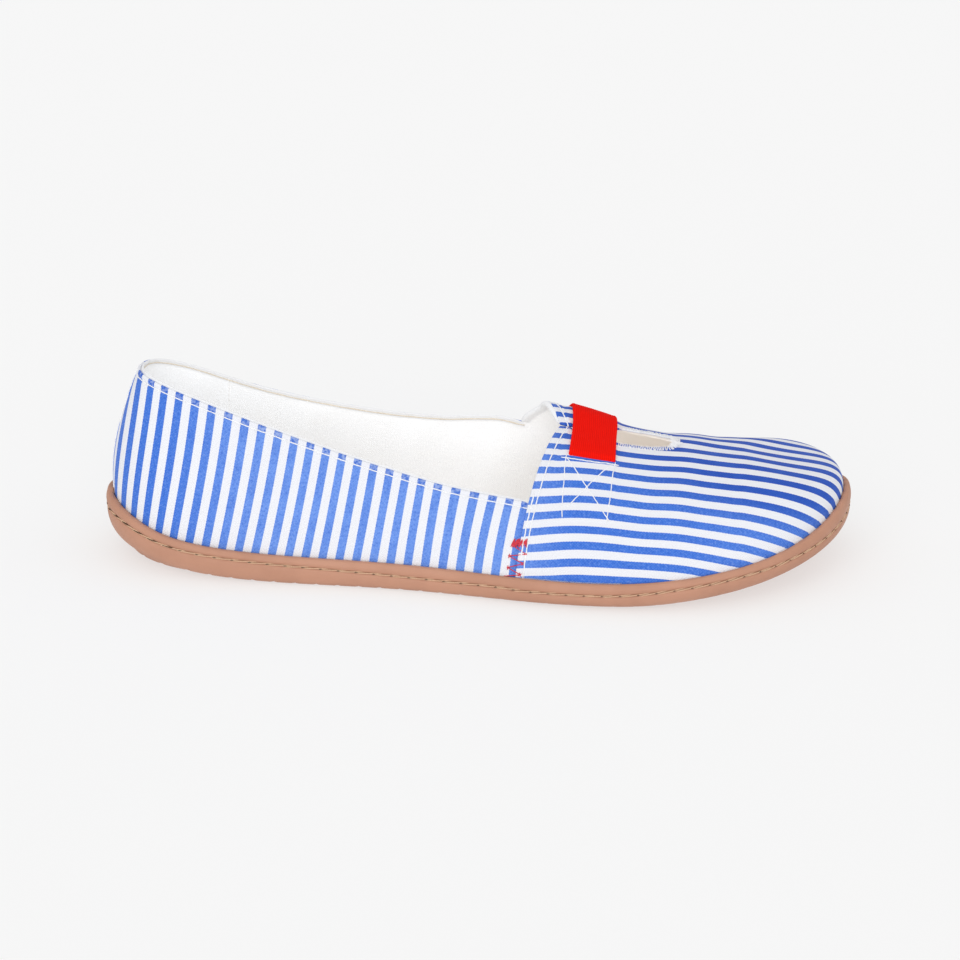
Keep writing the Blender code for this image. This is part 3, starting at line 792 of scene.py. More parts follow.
# ---- rubber sole and footbed ---------------------------------------------------------------------
GROOVE_DEEP, GROOVE_HALF = 0.48, 0.75       # the stitched groove
TREAD_PITCH, TREAD_DEEP, TREAD_HALF = 7.4, 0.50, 1.1
TREAD_WAVE, TREAD_WAVE_LONG = 1.5, 23.0
NOTCH_AT_TOE, NOTCH_AT_HEEL = 0.12, 0.52    # how much of the tread's grooves shows as notches at its rim
LIP_MIDDLE, LIP_HALF, LIP_ROUND = 1.3, 1.2, 0.9
LIP_IN = LIP_MIDDLE + LIP_HALF      # the lip's inner face, close against the canvas
BAND_IN, BAND_FULL = 0.1, 0.3       # the band over the groove: how far in it starts, and how full it is
WALL_FULL = 0.15                    # how full the wall under the groove is
RIM_IN = 0.8                        # how far the wall's foot lies in past its tuck
BEVEL_WIDE, TREAD_WIDE = 2.6, 4.1   # the bevel under it, and the tread's plain edge
STEP_AT, STEP_DOWN = 146.0, 0.55    # where the sole's stitching was begun and ended, a little out of line
UPPER_RINGS = 30        # the rings of the section that the tread's grooves leave alone
BED_THICK, BED_ROUND, BED_CLEAR, BED_DISH = 3.0, 0.9, 0.12, 0.7     # the footbed


def even_turns(per_side):
    """Places round the outline at even distances, in pairs across the shoe."""
    outer = np.interp(np.linspace(0, HEEL_TO_TOE, per_side + 1), ARC, ARC_T)
    return np.concatenate([outer, 2 - outer[-2:0:-1]])


def stitch_height(t):
    """The height of the sole's stitched groove."""
    x = outline(t)[..., 0]
    one_side = np.mod(t, 2.0) < 1
    step = smooth(STEP_AT - 7, STEP_AT, x) * (1 - smooth(STEP_AT + 30, STEP_AT + 60, x))
    return groove(t) - STEP_DOWN * step * one_side


def tread(x, y):
    """How far the tread's wavy cross grooves are cut up into it."""
    along = np.asarray(x) + TREAD_WAVE * np.sin(2 * np.pi * np.asarray(y) / TREAD_WAVE_LONG)
    off = np.mod(along + TREAD_PITCH / 2, TREAD_PITCH) - TREAD_PITCH / 2
    return TREAD_DEEP * bump(off, 0, TREAD_HALF)


def closing(ring, start, height, across, facing_up):
    """Rows of points that close a ring from its outer to its inner side, and their faces.

    A function gives their heights from their station and how far in from the ring they are."""
    n = len(ring)
    half = n // 2
    a, b = ring[1:half], ring[:half:-1]
    w = (np.arange(1, across) / across)[None, :]
    width = np.abs(b[:, 1] - a[:, 1])[:, None]
    ahead = (a[:, 0] - ring[0, 0])[:, None]
    inward = np.minimum(np.minimum(w * width, (1 - w) * width), ahead)
    x = a[:, :1] * (1 - w) + b[:, :1] * w
    y = a[:, 1:2] * (1 - w) + b[:, 1:2] * w
    new = np.stack([x, y, height(x, inward)], -1)
    rows = np.empty((half + 1, across + 1), int)
    rows[0], rows[half] = start, start + half
    rows[1:half, 0] = start + np.arange(1, half)
    rows[1:half, -1] = start + n - np.arange(1, half)
    first = start + n
    rows[1:half, 1:across] = first + np.arange((half - 1) * (across - 1)).reshape(half - 1, across - 1)
    quads = grid_quads(rows)
    return new.reshape(-1, 3), quads if facing_up else quads[:, ::-1]


def swept(rings):
    """The quads between rings of points laid one after another, facing away from the rings' middle."""
    n = len(rings[0])
    i = np.arange(n)
    j = (i + 1) % n
    quad = np.stack([i, j, n + j, n + i], -1)
    return np.concatenate([quad + k * n for k in range(len(rings) - 1)])


def moved_on(faces, ring, count):
    """Faces whose new points come after count points, in place of after their ring alone."""
    return np.where(faces >= ring, faces - ring + count, faces)


def sole_profile(t):
    """The cupsole's section as rings of (in from the outline, height), from its inner wall over the lip and
    down the band, the groove and the wall to the tread."""
    top, line, under, low = lip(t), stitch_height(t), rise(t), spring(t)
    shoulder = top - LIP_ROUND
    rings = [(LIP_IN, floor_height(t)), (LIP_IN, (floor_height(t) + top) / 2)]
    for angle in np.linspace(0, math.pi, 9):
        rings.append((LIP_MIDDLE + LIP_HALF * math.cos(angle), shoulder + LIP_ROUND * math.sin(angle)))
    for w in np.linspace(0, 1, 7)[1:]:
        z = shoulder * (1 - w) + (line + GROOVE_HALF) * w
        rings.append((BAND_IN * (1 - w) - BAND_FULL * math.sin(math.pi * w), z))
    for w in np.linspace(1, -1, 11)[1:]:
        rings.append((GROOVE_DEEP * math.cos(w * math.pi / 2) ** 1.6, line + GROOVE_HALF * w))
    wall = line - GROOVE_HALF - under
    tuck_in = tuck(t)
    rim_in = tuck_in + RIM_IN
    controls = [np.stack([np.broadcast_to(a, t.shape), z], -1) for a, z in (
        (0.0, line - GROOVE_HALF), (-WALL_FULL, line - GROOVE_HALF - 0.42 * wall),
        (tuck_in * 0.48, under + 0.08 * wall), (rim_in, under))]
    for w in np.linspace(0, 1, 12)[1:]:
        p = bezier(controls, np.full(t.shape, w))
        rings.append((p[:, 0], p[:, 1]))
    for w in (0.35, 0.7, 1.0):
        rings.append((rim_in + BEVEL_WIDE * w, under * (1 - w) + (low + bevel(t) * 0.4) * w))
    for w in (0.5, 1.0):
        rings.append((rim_in + BEVEL_WIDE + TREAD_WIDE * w, low + bevel(t) * (0.4 - 0.3 * w)))
    return rings


def cupsole():
    """The rubber cupsole: a lip round the canvas, a stitched groove, and shallow waves under the tread."""
    t = even_turns(450)
    rings = [around(t, inset, z) for inset, z in sole_profile(t)]
    points = np.concatenate(rings)
    n = len(t)

    def underside(x, inward):
        return lifted(np.clip(x / LENGTH, 0, 1))

    low, low_faces = closing(rings[-1], len(points) - n, underside, 56, False)
    notches = NOTCH_AT_TOE + (NOTCH_AT_HEEL - NOTCH_AT_TOE) * (1 - smooth(105, 150, points[:, 0]))
    at_rim = 1 - smooth(0.3, 1.7, points[:, 2] - np.tile(rise(t), len(rings)))
    reach = np.concatenate([notches * at_rim, np.ones(len(low))])
    reach[:n * UPPER_RINGS] = 0
    outside = np.concatenate([points, low])
    outside[:, 2] += tread(outside[:, 0], outside[:, 1]) * reach
    inside, inside_faces = closing(rings[0], 0, floor_at, 12, True)
    inside_faces = moved_on(inside_faces, n, len(outside))
    faces = np.concatenate([swept(rings)[:, ::-1], low_faces, inside_faces])
    return np.concatenate([outside, inside]), faces


def footbed():
    """The insole: a thin soft slab over the cup's floor, round at its top edge and dished by the foot."""
    t = even_turns(220)
    edge, low = SEAT + WALL + BED_CLEAR, floor_height(t) + GAP
    shoulder = low + BED_THICK - BED_ROUND
    rings = [around(t, edge, low), around(t, edge, shoulder)]
    for angle in np.linspace(0, math.pi / 2, 5)[1:]:
        inset = edge + BED_ROUND * (1 - math.cos(angle))
        rings.append(around(t, inset, shoulder + BED_ROUND * math.sin(angle)))
    n = len(t)
    points = np.concatenate(rings)

    def top(x, inward):
        arch = smooth(90, 130, x) * (1 - smooth(150, 185, x))
        dish = BED_DISH * smooth(6, 20, inward) * (1 - 0.6 * arch)
        return floor_at(x, inward) + GAP + BED_THICK - dish

    upper, upper_faces = closing(rings[-1], len(points) - n, top, 40, True)
    points = np.concatenate([points, upper])
    under, under_faces = closing(rings[0], 0, lambda x, inward: floor_at(x, inward) + GAP, 12, False)
    under_faces = moved_on(under_faces, n, len(points))
    return np.concatenate([points, under]), np.concatenate([swept(rings), upper_faces, under_faces])


# ---- canvas, lining and elastic ------------------------------------------------------------------
CANVAS = 0.75           # thickness of one layer of canvas
TUCKED = 9              # columns of the quarters that go on under the vamp
TUCKED_OUT, VAMP_IN = -0.50, -0.42      # the outside of that strip, and the vamp's inside face
TOP_ROW, HEM_ROW = 2.1, 2.3     # where the topline's and the hem's stitching run, in from the edge
BAND_FROM, BAND_TO = 160.6, 175.2       # the elastic strap's stations on the middle line
BAND_REACH = 15.5                       # how far over to each side it lies in the open
BAND_THICK, BAND_CLEAR = 1.3, 0.45      # its thickness, and how far it stands off the canvas
BAND_RIBS = 21
BAND_ROWS, BAND_COLUMNS = 127, 97       # its points, along the shoe and across
TUCK_DEEP = 0.5                         # how far its ends go down into the vamp
BOX_X, BOX_G = (159.1, 175.0), (17.6, 38.6)     # the strap's stitched box: its stations, and its way across
RIM_UP, RIM_BACK, RIM_OUT = 0.45, 0.55, 0.46    # how far the lining's fold covers the topline and the flap

# What stands proud of the canvas (+) or is sewn down into it (-): the panel, the distance it is measured by,
# where it lies, half its width, and its height. A pitch makes it a row of puckers.
ReliefRow = namedtuple("ReliefRow", "panel by at half high pitch_by pitch")
RELIEF = [
    ReliefRow("quarter", "below", TOP_ROW, 0.75, -0.30, None, None),
    ReliefRow("quarter", "below",     0.9, 1.00,  0.14, None, None),
    ReliefRow("quarter", "below", TOP_ROW, 2.20,  0.05, "round", 3.1),
    ReliefRow("quarter", "round",     0.0, 0.90, -0.55, None, None),
    ReliefRow("quarter", "round",     1.5, 1.30,  0.22, None, None),
    ReliefRow("vamp",    "ahead", HEM_ROW, 0.75, -0.26, None, None),
    ReliefRow("vamp",    "ahead", HEM_ROW, 2.20,  0.05, "up", 2.9),
]
HEM_BASE, HEM_FOLD, HEM_WIDE = 0.12, 0.28, (3.2, 4.4)       # the vamp's rear hem, and where it thins out
PAD_UP, KEYHOLE_UP, JOIN_DOWN = 0.30, 0.22, 0.50    # over the strap's end, round the keyhole, by the join


def box_pad(net):
    """Where the strap's end, sewn under the canvas, lifts it a little."""
    x, g = net.points[..., 0], np.abs(net.across)
    along = smooth(BOX_X[0] - 2.2, BOX_X[0] - 0.2, x) * (1 - smooth(BOX_X[1] + 0.2, BOX_X[1] + 2.2, x))
    return along * (1 - smooth(BOX_G[1] - 0.5, BOX_G[1] + 1.8, g)) * net.vamp


def canvas_heights(net):
    """How far the canvas's outside stands off the net: seams sink it, hems and folds lift it."""
    x = net.points[..., 0]
    dip = JOIN_DOWN * smooth(-2.2, -0.3, net.ahead) * (np.abs(net.ahead) < 20)
    fold = HEM_BASE + HEM_FOLD * (1 - smooth(*HEM_WIDE, net.ahead)) + PAD_UP * box_pad(net)
    keyhole = smooth(177, 180, x) * (1 - smooth(0.8, 2.0, net.below)) * (x < KEYHOLE_TIP + 2.5)
    out = np.where(net.vamp, fold + KEYHOLE_UP * keyhole, -dip)
    for row in RELIEF:
        wave = np.sin(2 * math.pi * getattr(net, row.pitch_by) / row.pitch) if row.pitch else 1
        where = net.vamp == (row.panel == "vamp")
        out += where * row.high * wave * bump(getattr(net, row.by), row.at, row.half)
    return out


def quarter_piece(net, look):
    """Both quarters: they go on a little under the vamp."""
    under = np.zeros(net.n, bool)
    under[net.join:net.join + TUCKED] = True
    under[net.n - net.join - TUCKED + 1:net.n - net.join + 1] = True
    faces = net.faces(~net.vamp | under, np.arange(net.rows) <= net.top - 1)
    heights = np.where(net.vamp, TUCKED_OUT, canvas_heights(net))
    points, quads, source = shell(net.flat(), net.normals, faces, heights.ravel(), -CANVAS)
    cloth = np.stack([quarter_stripes(net).ravel(), net.up.ravel() / STRIPE], -1)[source]
    edge = np.where(net.vamp, NO_EDGE, net.below).ravel()[source]
    make_piece("quarters_canvas", points, quads, look, ["upper"], cloth, edge)


def vamp_piece(net, look):
    """The vamp, from its rear hem over the toes."""
    faces = net.faces(net.vamp, np.ones(net.rows, bool))
    points, quads, source = shell(net.flat(), net.normals, faces, canvas_heights(net).ravel(), VAMP_IN)
    cloth = np.stack([vamp_stripes(net).ravel(), net.points[..., 0].ravel() / STRIPE], -1)[source]
    make_piece("vamp_canvas", points, quads, look, (), cloth, np.full(len(source), NO_EDGE))


def lining_piece(net, look):
    """The white lining inside both: it folds over the topline, and lies close under the vamp's free edge."""
    rows = np.arange(net.rows)
    outer = -CANVAS - 0.10 + 0.30 * net.vamp * smooth(net.top, net.top + 6, rows[:, None])
    ruffle = 0.10 * np.sin(2 * math.pi * net.round / 9.0) * np.exp(-net.below / 6)
    beside_slit = net.vamp & (net.side <= T_TIP)
    faces = np.concatenate([net.faces(np.ones(net.n, bool), rows <= net.top),
                            net.faces(beside_slit, (rows >= net.top) & (rows <= net.rows - 3)),
                            net.faces(net.vamp & (net.side >= T_TIP - 0.004), rows >= net.top)])
    raised = net.points.copy()
    climb_on = unit(raised[net.top] - raised[net.top - 1])
    raised[net.top] += climb_on * (RIM_UP * (1 - smooth(-4, -0.5, net.ahead[net.top])) * ~net.vamp)[:, None]
    rear, flap = net.n - net.join, np.arange(net.top + 1, net.rows)
    back_on = unit(raised[flap, rear] - raised[flap, rear - 1])
    whole_edge = smooth(0, 7, net.below[flap, rear])
    raised[flap, rear] += RIM_BACK * whole_edge[:, None] * back_on
    outer[flap, rear] += (RIM_OUT - outer[flap, rear]) * whole_edge
    points, quads, source = shell(raised.reshape(-1, 3), net.normals, faces, outer.ravel(),
                                  (-WALL - 0.05 + ruffle).ravel(), 6)
    cloth = np.stack([net.round.ravel(), net.up.ravel()], -1)[source] / STRIPE
    free = np.where(rows[:, None] > net.top, np.minimum(net.below, np.abs(net.ahead)), NO_EDGE)
    edge = np.where(net.vamp, free, net.below).ravel()[source]
    make_piece("lining_canvas", points, quads, look, (), cloth, edge)


def across_vamp(x, reach):
    """Points of the vamp's outside straight across the shoe at x, so far over from the middle line.

    Those to the outer side are counted down from 0."""
    row, ribs_cut = [], 300
    for d in reach:
        s = np.linspace(station(x), 0.9, ribs_cut)
        ribs = vamp_rib(s if d < 0 else 2 - s)
        p = bezier([c[None] for c in ribs], np.linspace(1, 0.15, 171)[:, None] * np.ones(ribs_cut))
        cut = np.array([[np.interp(-x, -p[:, k, 0], p[:, k, axis]) for axis in range(3)]
                        for k in range(ribs_cut)])
        run = run_along(cut)
        row.append([np.interp(abs(d), run, cut[:, axis]) for axis in range(3)])
    return np.array(row)


def strap_piece(look):
    """The elastic: a ribbed strap bridging the slit, its ends tucked down through the vamp."""
    width, length = BAND_ROWS, BAND_COLUMNS
    held = BAND_REACH * np.array([-1.09, -1.0, -0.85, -0.7, -0.5, -0.32,
                                  0.32, 0.45, 0.6, 0.75, 0.88, 1.0, 1.09])
    across = np.linspace(held[0], held[-1], length)
    knots = np.linspace(BAND_FROM - 3, BAND_TO + 1, 8)
    rows = np.array([[natural(held, c)(across) for c in across_vamp(x, held).T] for x in knots])
    share = np.linspace(0, 1, width)
    bow = 1 - (across / BAND_REACH) ** 2
    far = np.clip(across / BAND_REACH, 0, 1.1)
    start = BAND_FROM + 0.55 * bow - 0.9 * far ** 1.5 - 1.6 * smooth(0.86, 1.09, far)
    end = BAND_TO - 0.25 * bow - 1.7 * far ** 2
    stations = start * (1 - share[:, None]) + end * share[:, None]
    base = np.empty((width, length, 3))
    for k in range(length):
        for axis in range(3):
            base[:, k, axis] = natural(knots, rows[:, axis, k])(stations[:, k])
    normal = unit(np.cross(np.gradient(base, axis=0), np.gradient(base, axis=1)))
    tuck_down = smooth(BAND_REACH - 1.6, BAND_REACH + 1.3, np.abs(across))
    lift = (BAND_CLEAR + BAND_THICK) * (1 - tuck_down) - TUCK_DEEP * tuck_down
    ribs = 0.11 * (np.abs(np.cos(math.pi * BAND_RIBS * share)) - 0.6)
    selvedge = 0.10 * (bump(share, 0.012, 0.03) + bump(share, 0.988, 0.03))
    outer = lift + (ribs + selvedge)[:, None]
    faces = grid_quads(np.arange(width * length).reshape(width, length))
    inner = np.broadcast_to(lift - BAND_THICK, outer.shape)
    points, quads, source = shell(base.reshape(-1, 3), normal.reshape(-1, 3), faces,
                                  outer.ravel(), inner.ravel(), 6)
    cloth = np.stack(np.meshgrid(share * BAND_RIBS, across, indexing="ij"), -1).reshape(-1, 2)[source]
    make_piece("elastic_strap", points, quads, look, ["elastic_band"], cloth)


# ---- stitches ------------------------------------------------------------------------------------

STITCH_SIZES = (("Spacing", "Float"), ("Length", "Float"), ("Width", "Float"), ("Turn", "Float"),
                ("Uneven", "Float"), ("Seed", "Int"), ("Thread", "Material"))
BEND_DOWN, BEND_UP = -0.55, 0.95        # a stitch's ends and its middle, in its own widths off the cloth


def add_node(tree, kind, wires, settings):
    """A new node with its settings set, and its inputs wired or set."""
    made = tree.nodes.new(kind)
    for key, value in settings.items():
        setattr(made, key, value)
    for key, value in wires.items():
        if isinstance(value, bpy.types.NodeSocket):
            tree.links.new(value, made.inputs[key])
        else:
            made.inputs[key].default_value = value
    return made


def stitch_tree():
    """Geometry Nodes: a row of stitches along each path of a mesh, on the surface that "up" points from."""
    tree = bpy.data.node_groups.new("stitch_row", "GeometryNodeTree")
    face = tree.interface
    face.new_socket("Path", in_out="INPUT", socket_type="NodeSocketGeometry")
    for name, kind in STITCH_SIZES:
        face.new_socket(name, in_out="INPUT", socket_type="NodeSocket" + kind)
    face.new_socket("Stitches", in_out="OUTPUT", socket_type="NodeSocketGeometry")

    def node(kind, wires=None, **settings):
        """A new node's first output."""
        return add_node(tree, kind, wires or {}, settings).outputs[0]

    given = tree.nodes.new("NodeGroupInput").outputs
    curve = node("GeometryNodeMeshToCurve", {0: given["Path"]})
    spaced = node("GeometryNodeResampleCurve", {"Curve": curve, "Length": given["Spacing"]}, mode="LENGTH")
    bend = {"Start": (-0.5, 0, BEND_DOWN), "Middle": (0, 0, BEND_UP), "End": (0.5, 0, BEND_DOWN)}
    arc = node("GeometryNodeCurveQuadraticBezier", {"Resolution": 6, **bend})
    ring = node("GeometryNodeCurvePrimitiveCircle", {"Resolution": 7, "Radius": 0.5})
    thread = node("GeometryNodeCurveToMesh", {"Curve": arc, "Profile Curve": ring, "Fill Caps": True})
    rounded = node("GeometryNodeSetShadeSmooth", {"Geometry": thread})
    up = node("GeometryNodeInputNamedAttribute", {"Name": "up"}, data_type="FLOAT_VECTOR")
    tangent = node("GeometryNodeInputTangent")
    align = "FunctionNodeAlignRotationToVector"
    along = node(align, {"Vector": tangent}, axis="X")
    stand = node(align, {"Rotation": along, "Vector": up}, axis="Z", pivot_axis="X")
    chance = node("FunctionNodeRandomValue", {2: -1, 3: 1, "Seed": given["Seed"]}, data_type="FLOAT")
    wander = node("ShaderNodeMath", {0: chance.node.outputs[1], 1: given["Uneven"], 2: given["Turn"]},
                  operation="MULTIPLY_ADD")
    spin = node("FunctionNodeAxisAngleToRotation", {"Axis": (0, 0, 1), "Angle": wander})
    turned = node("FunctionNodeRotateRotation", {"Rotation": stand, "Rotate By": spin},
                  rotation_space="LOCAL")
    size = node("ShaderNodeCombineXYZ", {"X": given["Length"], "Y": given["Width"], "Z": given["Width"]})
    sewn = node("GeometryNodeInstanceOnPoints", {"Points": spaced, "Instance": rounded,
                                                 "Rotation": turned, "Scale": size})
    real = node("GeometryNodeRealizeInstances", {0: sewn})
    finish = node("GeometryNodeSetMaterial", {"Geometry": real, "Material": given["Thread"]})
    add_node(tree, "NodeGroupOutput", {0: finish}, {})
    return tree


HEM_EDGE_ROW = 0.8      # the hem's second row, close to its edge
BACK_ROW = 1.75         # the rows to each side of the back seam
CORD_ROW = 0.45         # the cord along the topline's inner edge
LINING_SEAM = 55.4      # where the lining's own seam runs, so far round from the heel
KEYHOLE_FROM = 176.6    # the keyhole's edge is oversewn from this station
# The red zigzag and its bartack over the join: how far ahead of the vamp's rear edge, and how far up.
ZIGZAG = [(-2.6, 10.2), (2.3, 7.7), (-3.4, 6.5), (1.8, 4.4), (-3.4, 2.6), (1.4, 0.7), (-3.7, -0.3)]
BARTACK = [(-2.9, 11.0), (1.9, 11.4)]
HOLES_LONG = 40.0       # round the heel the painted shade at the sole's needle holes runs longer, for the groove's deeper shade there, this far each way
THREAD_OUT = 0.34       # how far the sole's thread stands out of the groove
SOLE_PITCH = 6.15

# The rows of stitches by the names of their pieces: the slot; a stitch's pitch, length and width; its turn
# out of the seam's way in degrees, how far that strays in radians, and the seed it strays by.
Seam = namedtuple("Seam", "slot pitch long wide turn uneven seed")
SEAMS = {
    "topline_stitches":     Seam("canvas", 2.90, 2.55, 0.42, 0.0, 0.06, 3),
    "vamp_hem_stitches":    Seam("canvas", 2.70, 2.40, 0.45, 0.0, 0.10, 5),
    "back_seam_stitches":   Seam("canvas", 2.80, 2.40, 0.42, 0.0, 0.08, 7),
    "strap_box_stitches":   Seam("canvas", 2.60, 2.30, 0.36, 0.0, 0.06, 9),
    "keyhole_stitches":     Seam("canvas", 0.62, 1.75, 0.34, 90.0, 0.40, 11),
    "keyhole_bartack":      Seam("canvas", 0.40, 3.20, 0.40, 90.0, 0.15, 13),
    "zigzag_stitches":      Seam("red_elastic", 0.45, 0.85, 0.30, 0.0, 0.05, 15),
    "bartack_stitches":     Seam("red_elastic", 0.26, 1.70, 0.30, 72.0, 0.35, 17),
    "lining_seam_stitches": Seam("canvas", 2.40, 2.00, 0.40, 0.0, 0.05, 19),
    "topline_edge_cord":    Seam("canvas", 0.70, 1.00, 0.42, 0.0, 0.02, 21),
    "sole_stitches":        Seam("rubber", SOLE_PITCH, 5.20, 0.40, 5.0, 0.03, 23),
    # painted shade, not thread: dark marks at the needle holes, and longer ones round the heel
    "sole_needle_hole_shade":    Seam("rubber", SOLE_PITCH, 0.80, 0.44, 5.0, 0.03, 23),
    "heel_groove_shade":    Seam("rubber", SOLE_PITCH, 2.30, 0.40, 5.0, 0.03, 23),
}


def sew(name, lines, look):
    """The stitches of a seam along lines of (points, ups, closed), as one plain mesh."""
    seam = SEAMS[name]
    points, ups, edges = [], [], []
    for line, up, closed in lines:
        first, count = len(points), len(line)
        points += ((np.asarray(line) - CENTRE) * MM).tolist()
        ups += np.asarray(up).tolist()
        edges += [(first + k, first + k + 1) for k in range(count - 1)]
        edges += [(first + count - 1, first)] if closed else []
    mesh = bpy.data.meshes.new(name)
    mesh.from_pydata(points, edges, [])
    mesh.attributes.new("up", "FLOAT_VECTOR", "POINT").data.foreach_set("vector", np.ravel(ups))
    piece = add_object(name, mesh)
    rule = piece.modifiers.new("stitches", "NODES")
    rule.node_group = STITCHES
    sizes = {"Spacing": seam.pitch * MM, "Length": seam.long * MM, "Width": seam.wide * MM,
             "Turn": math.radians(seam.turn), "Uneven": seam.uneven, "Seed": seam.seed, "Thread": look}
    for item in STITCHES.interface.items_tree:
        if item.in_out == "INPUT" and item.name in sizes:
            rule[item.identifier] = sizes[item.name]
    seen = piece.evaluated_get(bpy.context.evaluated_depsgraph_get())
    made = bpy.data.meshes.new_from_object(seen)
    piece.modifiers.remove(rule)
    piece.data = made
    made.name = name
    bpy.data.meshes.remove(mesh)
    settle(piece)


def at_place(grid, row, column):
    """A value of the net's grid at places between its rows and columns, round and round the shoe."""
    row, column = np.asarray(row, float), np.asarray(column, float)
    k = np.clip(np.floor(row).astype(int), 0, grid.shape[0] - 2)
    i = np.floor(column).astype(int)
    a, b = (row - k)[..., None], (column - i)[..., None]
    n = grid.shape[1]
    return ((grid[k, i % n] * (1 - a) + grid[k + 1, i % n] * a) * (1 - b)
            + (grid[k, (i + 1) % n] * (1 - a) + grid[k + 1, (i + 1) % n] * a) * b)


class Skin:
    """A finished face of the canvas or lining, to sew on."""

    def __init__(self, net, heights, facing=1):
        self.net = net
        self.up = net.normals.reshape(net.points.shape) * facing
        self.points = net.points + self.up * heights[..., None]

    def line(self, row, column, lift):
        """An open line through places of the net, a little above the face."""
        up = unit(at_place(self.up, row, column))
        return at_place(self.points, row, column) + up * lift, up, False

    def along_top(self, below, columns, lift):
        """A line round the quarters, so far below their top edge."""
        net = self.net
        rows = [np.interp(-below, -net.below[net.sunk:net.top + 1, i % net.n],
                          np.arange(net.sunk, net.top + 1)) for i in columns]
        return self.line(rows, columns, lift)

    def up_rib(self, field, value, columns, rows, lift):
        """A line up the shoe where a field that grows along the columns passes a value."""
        at = [np.interp(value, field[k, columns % self.net.n], columns) for k in rows]
        return self.line(rows, at, lift)

    def on_cloth(self, u, v, fields, where, lift):
        """A line through points where two fields take given values, among the places that where allows."""
        a, b = (f[where] for f in fields)
        p, n = self.points[where], self.up[where]
        out, ups = [], []
        for x, y in zip(u, v):
            d = (a - x) ** 2 + (b - y) ** 2
            near = np.argpartition(d, 4)[:4]
            w = 1 / (d[near] + 1e-4)
            w /= w.sum()
            normal = (n[near] * w[:, None]).sum(0)
            normal /= np.linalg.norm(normal)
            out.append((p[near] * w[:, None]).sum(0) + normal * lift)
            ups.append(normal)
        return np.array(out), np.array(ups), False


# ---- finishes ------------------------------------------------------------------------------------

class Finish:
    """A material under construction: adds nodes and wires them by the names of their sockets."""

    def __init__(self, name, colour, roughness, **sockets):
        self.look = bpy.data.materials.new(name)
        self.look.use_nodes = True
        self.look.diffuse_color = (*colour, 1.0)
        self.tree = self.look.node_tree
        self.shader = self.tree.nodes["Principled BSDF"]
        self.shader.inputs["Base Color"].default_value = (*colour, 1.0)
        self.shader.inputs["Roughness"].default_value = roughness
        for key, value in sockets.items():
            self.shader.inputs[key.replace("_", " ")].default_value = value

    def add(self, kind, wires=None, **settings):
        """A new node of the material."""
        return add_node(self.tree, kind, wires or {}, settings)

    def calc(self, operation, *values):
        """A sum done on values, which may be sockets or numbers."""
        return self.add("ShaderNodeMath", dict(enumerate(values)), operation=operation).outputs[0]

    def cloth(self):
        """The cloth's own coordinates: across its stripes and along them."""
        uv = self.add("ShaderNodeUVMap", uv_map="cloth").outputs[0]
        parts = self.parts(uv)
        return uv, parts[0], parts[1]

    def place(self):
        """Where on the shoe, in metres."""
        return self.add("ShaderNodeTexCoord").outputs["Object"]

    def parts(self, vector):
        """The x, y and z of a vector."""
        return self.add("ShaderNodeSeparateXYZ", {0: vector}).outputs

    def edge(self):
        """How far in from the cloth's free edge, in millimetres."""
        return self.add("ShaderNodeAttribute", attribute_name="edge").outputs["Fac"]

    def noise(self, where, scale, detail=2.0, rough=0.5, stretch=None):
        """Soft noise from 0 to 1, on a mapping that may be stretched."""
        if stretch:
            where = self.add("ShaderNodeMapping", {"Vector": where, "Scale": stretch}).outputs[0]
        wires = {"Vector": where, "Scale": scale, "Detail": detail, "Roughness": rough}
        return self.add("ShaderNodeTexNoise", wires).outputs[0]

    def spread(self, value, low, high, to_low=0.0, to_high=1.0):
        """A smooth step from one value to another as the input goes from low to high."""
        wires = {"Value": value, "From Min": low, "From Max": high, "To Min": to_low, "To Max": to_high}
        return self.add("ShaderNodeMapRange", wires, interpolation_type="SMOOTHSTEP").outputs[0]

    def mix(self, share, one, two):
        """The first colour, or by its share the second."""
        one, two = (c if isinstance(c, bpy.types.NodeSocket) else (*c, 1.0) for c in (one, two))
        return self.add("ShaderNodeMix", {0: share, 6: one, 7: two}, data_type="RGBA").outputs[2]

    def drive(self, socket, value):
        """Wires a value to an input of the shader."""
        self.tree.links.new(value, self.shader.inputs[socket])

    def glow(self, colour, strength):
        """Light that the surface gives out of itself besides what falls on it: a painted glow on the lining
        and its thread, and the floor's even glow.
        """
        self.shader.inputs["Emission Color"].default_value = (*colour, 1.0)
        self.shader.inputs["Emission Strength"].default_value = strength

    def relief(self, height, depth, strength):
        """A bump as deep as the given millimetres."""
        made = self.add("ShaderNodeBump", {"Height": height, "Distance": depth * MM, "Strength": strength})
        self.drive("Normal", made.outputs[0])

    def weave(self, u, v, threads):
        """A plain weave: -1 where the crosswise yarn lies over, 1 where the lengthwise one does."""
        a = self.calc("SINE", self.calc("MULTIPLY", u, math.pi * threads))
        b = self.calc("SINE", self.calc("MULTIPLY", v, math.pi * threads))
        return self.calc("MULTIPLY", a, b)


LINING_PAINTED_GLOW = 0.18      # painted glow: the lining gives out a little light of its own, which lightens the shade inside the shoe
FLOOR_PALE = (0.38, 0.38, 0.38)
FLOOR_GLOW = 0.565
BLUE, BLUE_SHADE = (0.040, 0.162, 0.645), (0.030, 0.124, 0.550)
# the paler blue is painted light on the quarters' sides; the deeper blue is painted shade, and also random
# dark grain
BLUE_PAINTED_LIGHT, BLUE_GRAIN_AND_PAINTED_SHADE = (0.136, 0.282, 0.755), (0.008, 0.069, 0.440)
FLECK = (0.40, 0.52, 0.82)      # white yarn showing through the blue
HEM_PAINTED_SHADE = (0.42, 0.48, 0.68)     # painted shade: the greyer, darker band of the hem along the topline
WHITE, WHITE_SHADE = (0.775, 0.785, 0.835), (0.715, 0.73, 0.785)
THREADS = 12            # yarns to a blue and a white stripe
LINING_THREADS = 13     # and to the same width of the lining
BED_THREADS, BED_WEAVE = 9, 6.0     # and to so many millimetres of the footbed's cover


